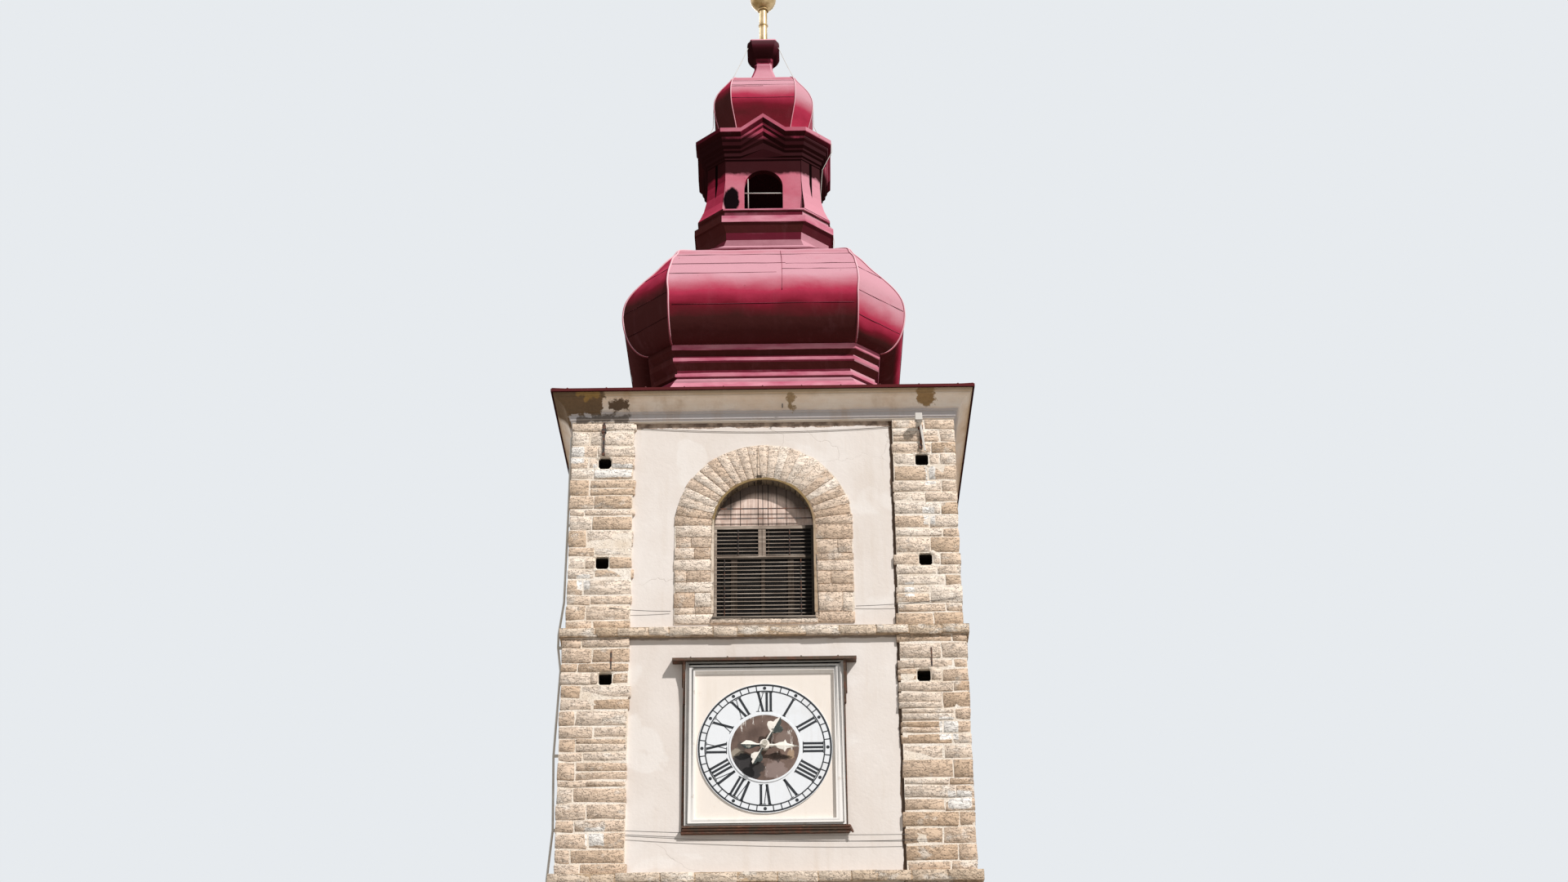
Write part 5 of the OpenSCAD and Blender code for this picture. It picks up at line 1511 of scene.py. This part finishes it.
# Upper bulb, its neck and the knob: the same work at a smaller size, with rolls on the hips and two wires from
# the plate on the knob to the bulb's shoulders.
crown_rings = [(0.930, 0.360, 30.26), (0.965, 0.360, 30.50), (1.012, 0.372, 30.70), (1.063, 0.385, 30.90),
               (1.093, 0.390, 31.05), (1.105, 0.390, 31.20), (1.092, 0.372, 31.35), (1.040, 0.320, 31.50),
               (0.983, 0.266, 31.60), (0.910, 0.197, 31.70), (0.828, 0.124, 31.80), (0.751, 0.055, 31.90),
               (0.704, 0.050, 32.00), (0.600, 0.050, 32.07), (0.339, 0.051, 32.20)]
knob_rings = [(0.339, 0.051, 32.20), (0.304, 0.051, 32.27), (0.245, 0.051, 32.45), (0.205, 0.048, 32.60),
              (0.195, 0.045, 32.73), (0.172, 0.041, 32.75), (0.211, 0.044, 32.775), (0.211, 0.044, 32.86),
              (0.289, 0.074, 32.957), (0.348, 0.107, 33.067), (0.370, 0.111, 33.165), (0.359, 0.0925, 33.262),
              (0.300, 0.030, 33.33), (0.300, 0.030, 33.36)]
crown_fine = eased(crown_rings)
sheeted("upper_bulb_sheets", crown_fine, 5, 0.006, "upper_bulb", 5.0)
rods("upper_bulb_rolls", hip_lines(crown_fine[:-6], 0.003), 0.013, roll_finish, "roof_sheet")
small_laps = [lap_line(crown_fine, z, k, 0.0, end) for k in range(0, 8, 2)
              for z, end in ((31.86, 1.0), (31.62, 1.0), (31.18, 1.0), (31.56, 0.5))]
rods("upper_bulb_laps", small_laps, 0.0045, seam_finish, "roof_sheet", round_by=0)


def overhung(tree, colour):
    """Painted shade: the knob that overhangs the neck and the bead over it turns near black, while the neck and
    bead keep the paint's painted light.
    """
    level = axes(tree)["Z"]
    knob = times(tree, spread(tree, level, 32.865, 32.885, 0, 0.88), spread(tree, level, 33.335, 33.325))
    return blend(tree, knob, colour, "2C1315")


knob_finish = painted("knob_paint", "331516", "5A1A28", "A04058", "C98E9B", shift=0.15, overlay=overhung)
knob_fine = eased(knob_rings[:5], 3)[:-1] + knob_rings[4:8] + eased(knob_rings[7:12], 3)[1:] + knob_rings[12:]
sheeted("knob_sheets", knob_fine, 2, 0.002, "finial_knob", 9.0, knob_finish)
shoulder, eaves_end = (0.70, -0.66, 31.99), (1.51, -0.80, 30.12)
down_bulb = [(1.0, -0.62, 31.66), (1.12, -0.62, 31.2), (1.13, -0.62, 30.7), (1.30, -0.70, 30.22), eaves_end]
down_lantern = [(1.515, -0.80, 30.12), (1.515, -0.80, 29.9), (1.30, -0.70, 29.5), (1.25, -0.62, 28.9),
                (1.27, -0.60, 28.3), (1.47, -0.62, 28.05), (1.53, -0.62, 27.7), (1.50, -0.66, 27.2),
                (1.62, -0.7, 26.95)]
roof_lines = [hung((side * 0.29, -0.20, 33.345), (side * shoulder[0], *shoulder[1:]), 0.03, 8)
              for side in (-1, 1)]
roof_lines += [[(side * x, y, z) for x, y, z in [shoulder, *down_bulb]] for side in (-1, 1)]
rods("roof_wires", roof_lines + [down_lantern], 0.007, cable_finish, "lead_metal")

# Finial: a turned rod, a ball and a cross of gilded copper sheet, dulled by the weather.


def gilding(tree):
    """Gilded sheet, dulled and spotted by the weather."""
    where = place(tree)
    dull = spread(tree, speckle(tree, where, 4.0, 6, 0.6), 0.40, 0.68)
    colour = rained(tree, blend(tree, dull, "D9BE92", "94784A"), 10.0, 0.5, "5E4A2C")
    return colour, spread(tree, dull, 0, 1, 0.32, 0.55), speckle(tree, where, 7.0), 0.004


gilt_finish = finish_of("gilding", gilding, metal=0.75, specular=0.5)
for node in ("finial_rod", "finial_ball", "finial_cross"):
    clothe(node, gilt_finish)
collars = bmesh.new()
for z, reach in ((33.40, 0.135), (33.95, 0.104), (34.39, 0.125)):
    upright_ring = Matrix.Translation((reach - 0.012, 0, z)) @ Matrix.Rotation(math.pi / 2, 4, "X")
    circle = bmesh.ops.create_circle(collars, segments=10, radius=0.020, matrix=upright_ring)["verts"]
    spun(collars, circle + list({e for v in circle for e in v.link_edges}), (0, 0, 1), 40)
bmesh.ops.remove_doubles(collars, verts=collars.verts[:], dist=0.0002)
outward(collars)
shown("finial_collars", collars, gilt_finish, slot="gilt", smooth=True)

# What was packed and what is shown, as two boxes
sizes = {"cad": cad_box, "visual": [list(corner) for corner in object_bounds()]}
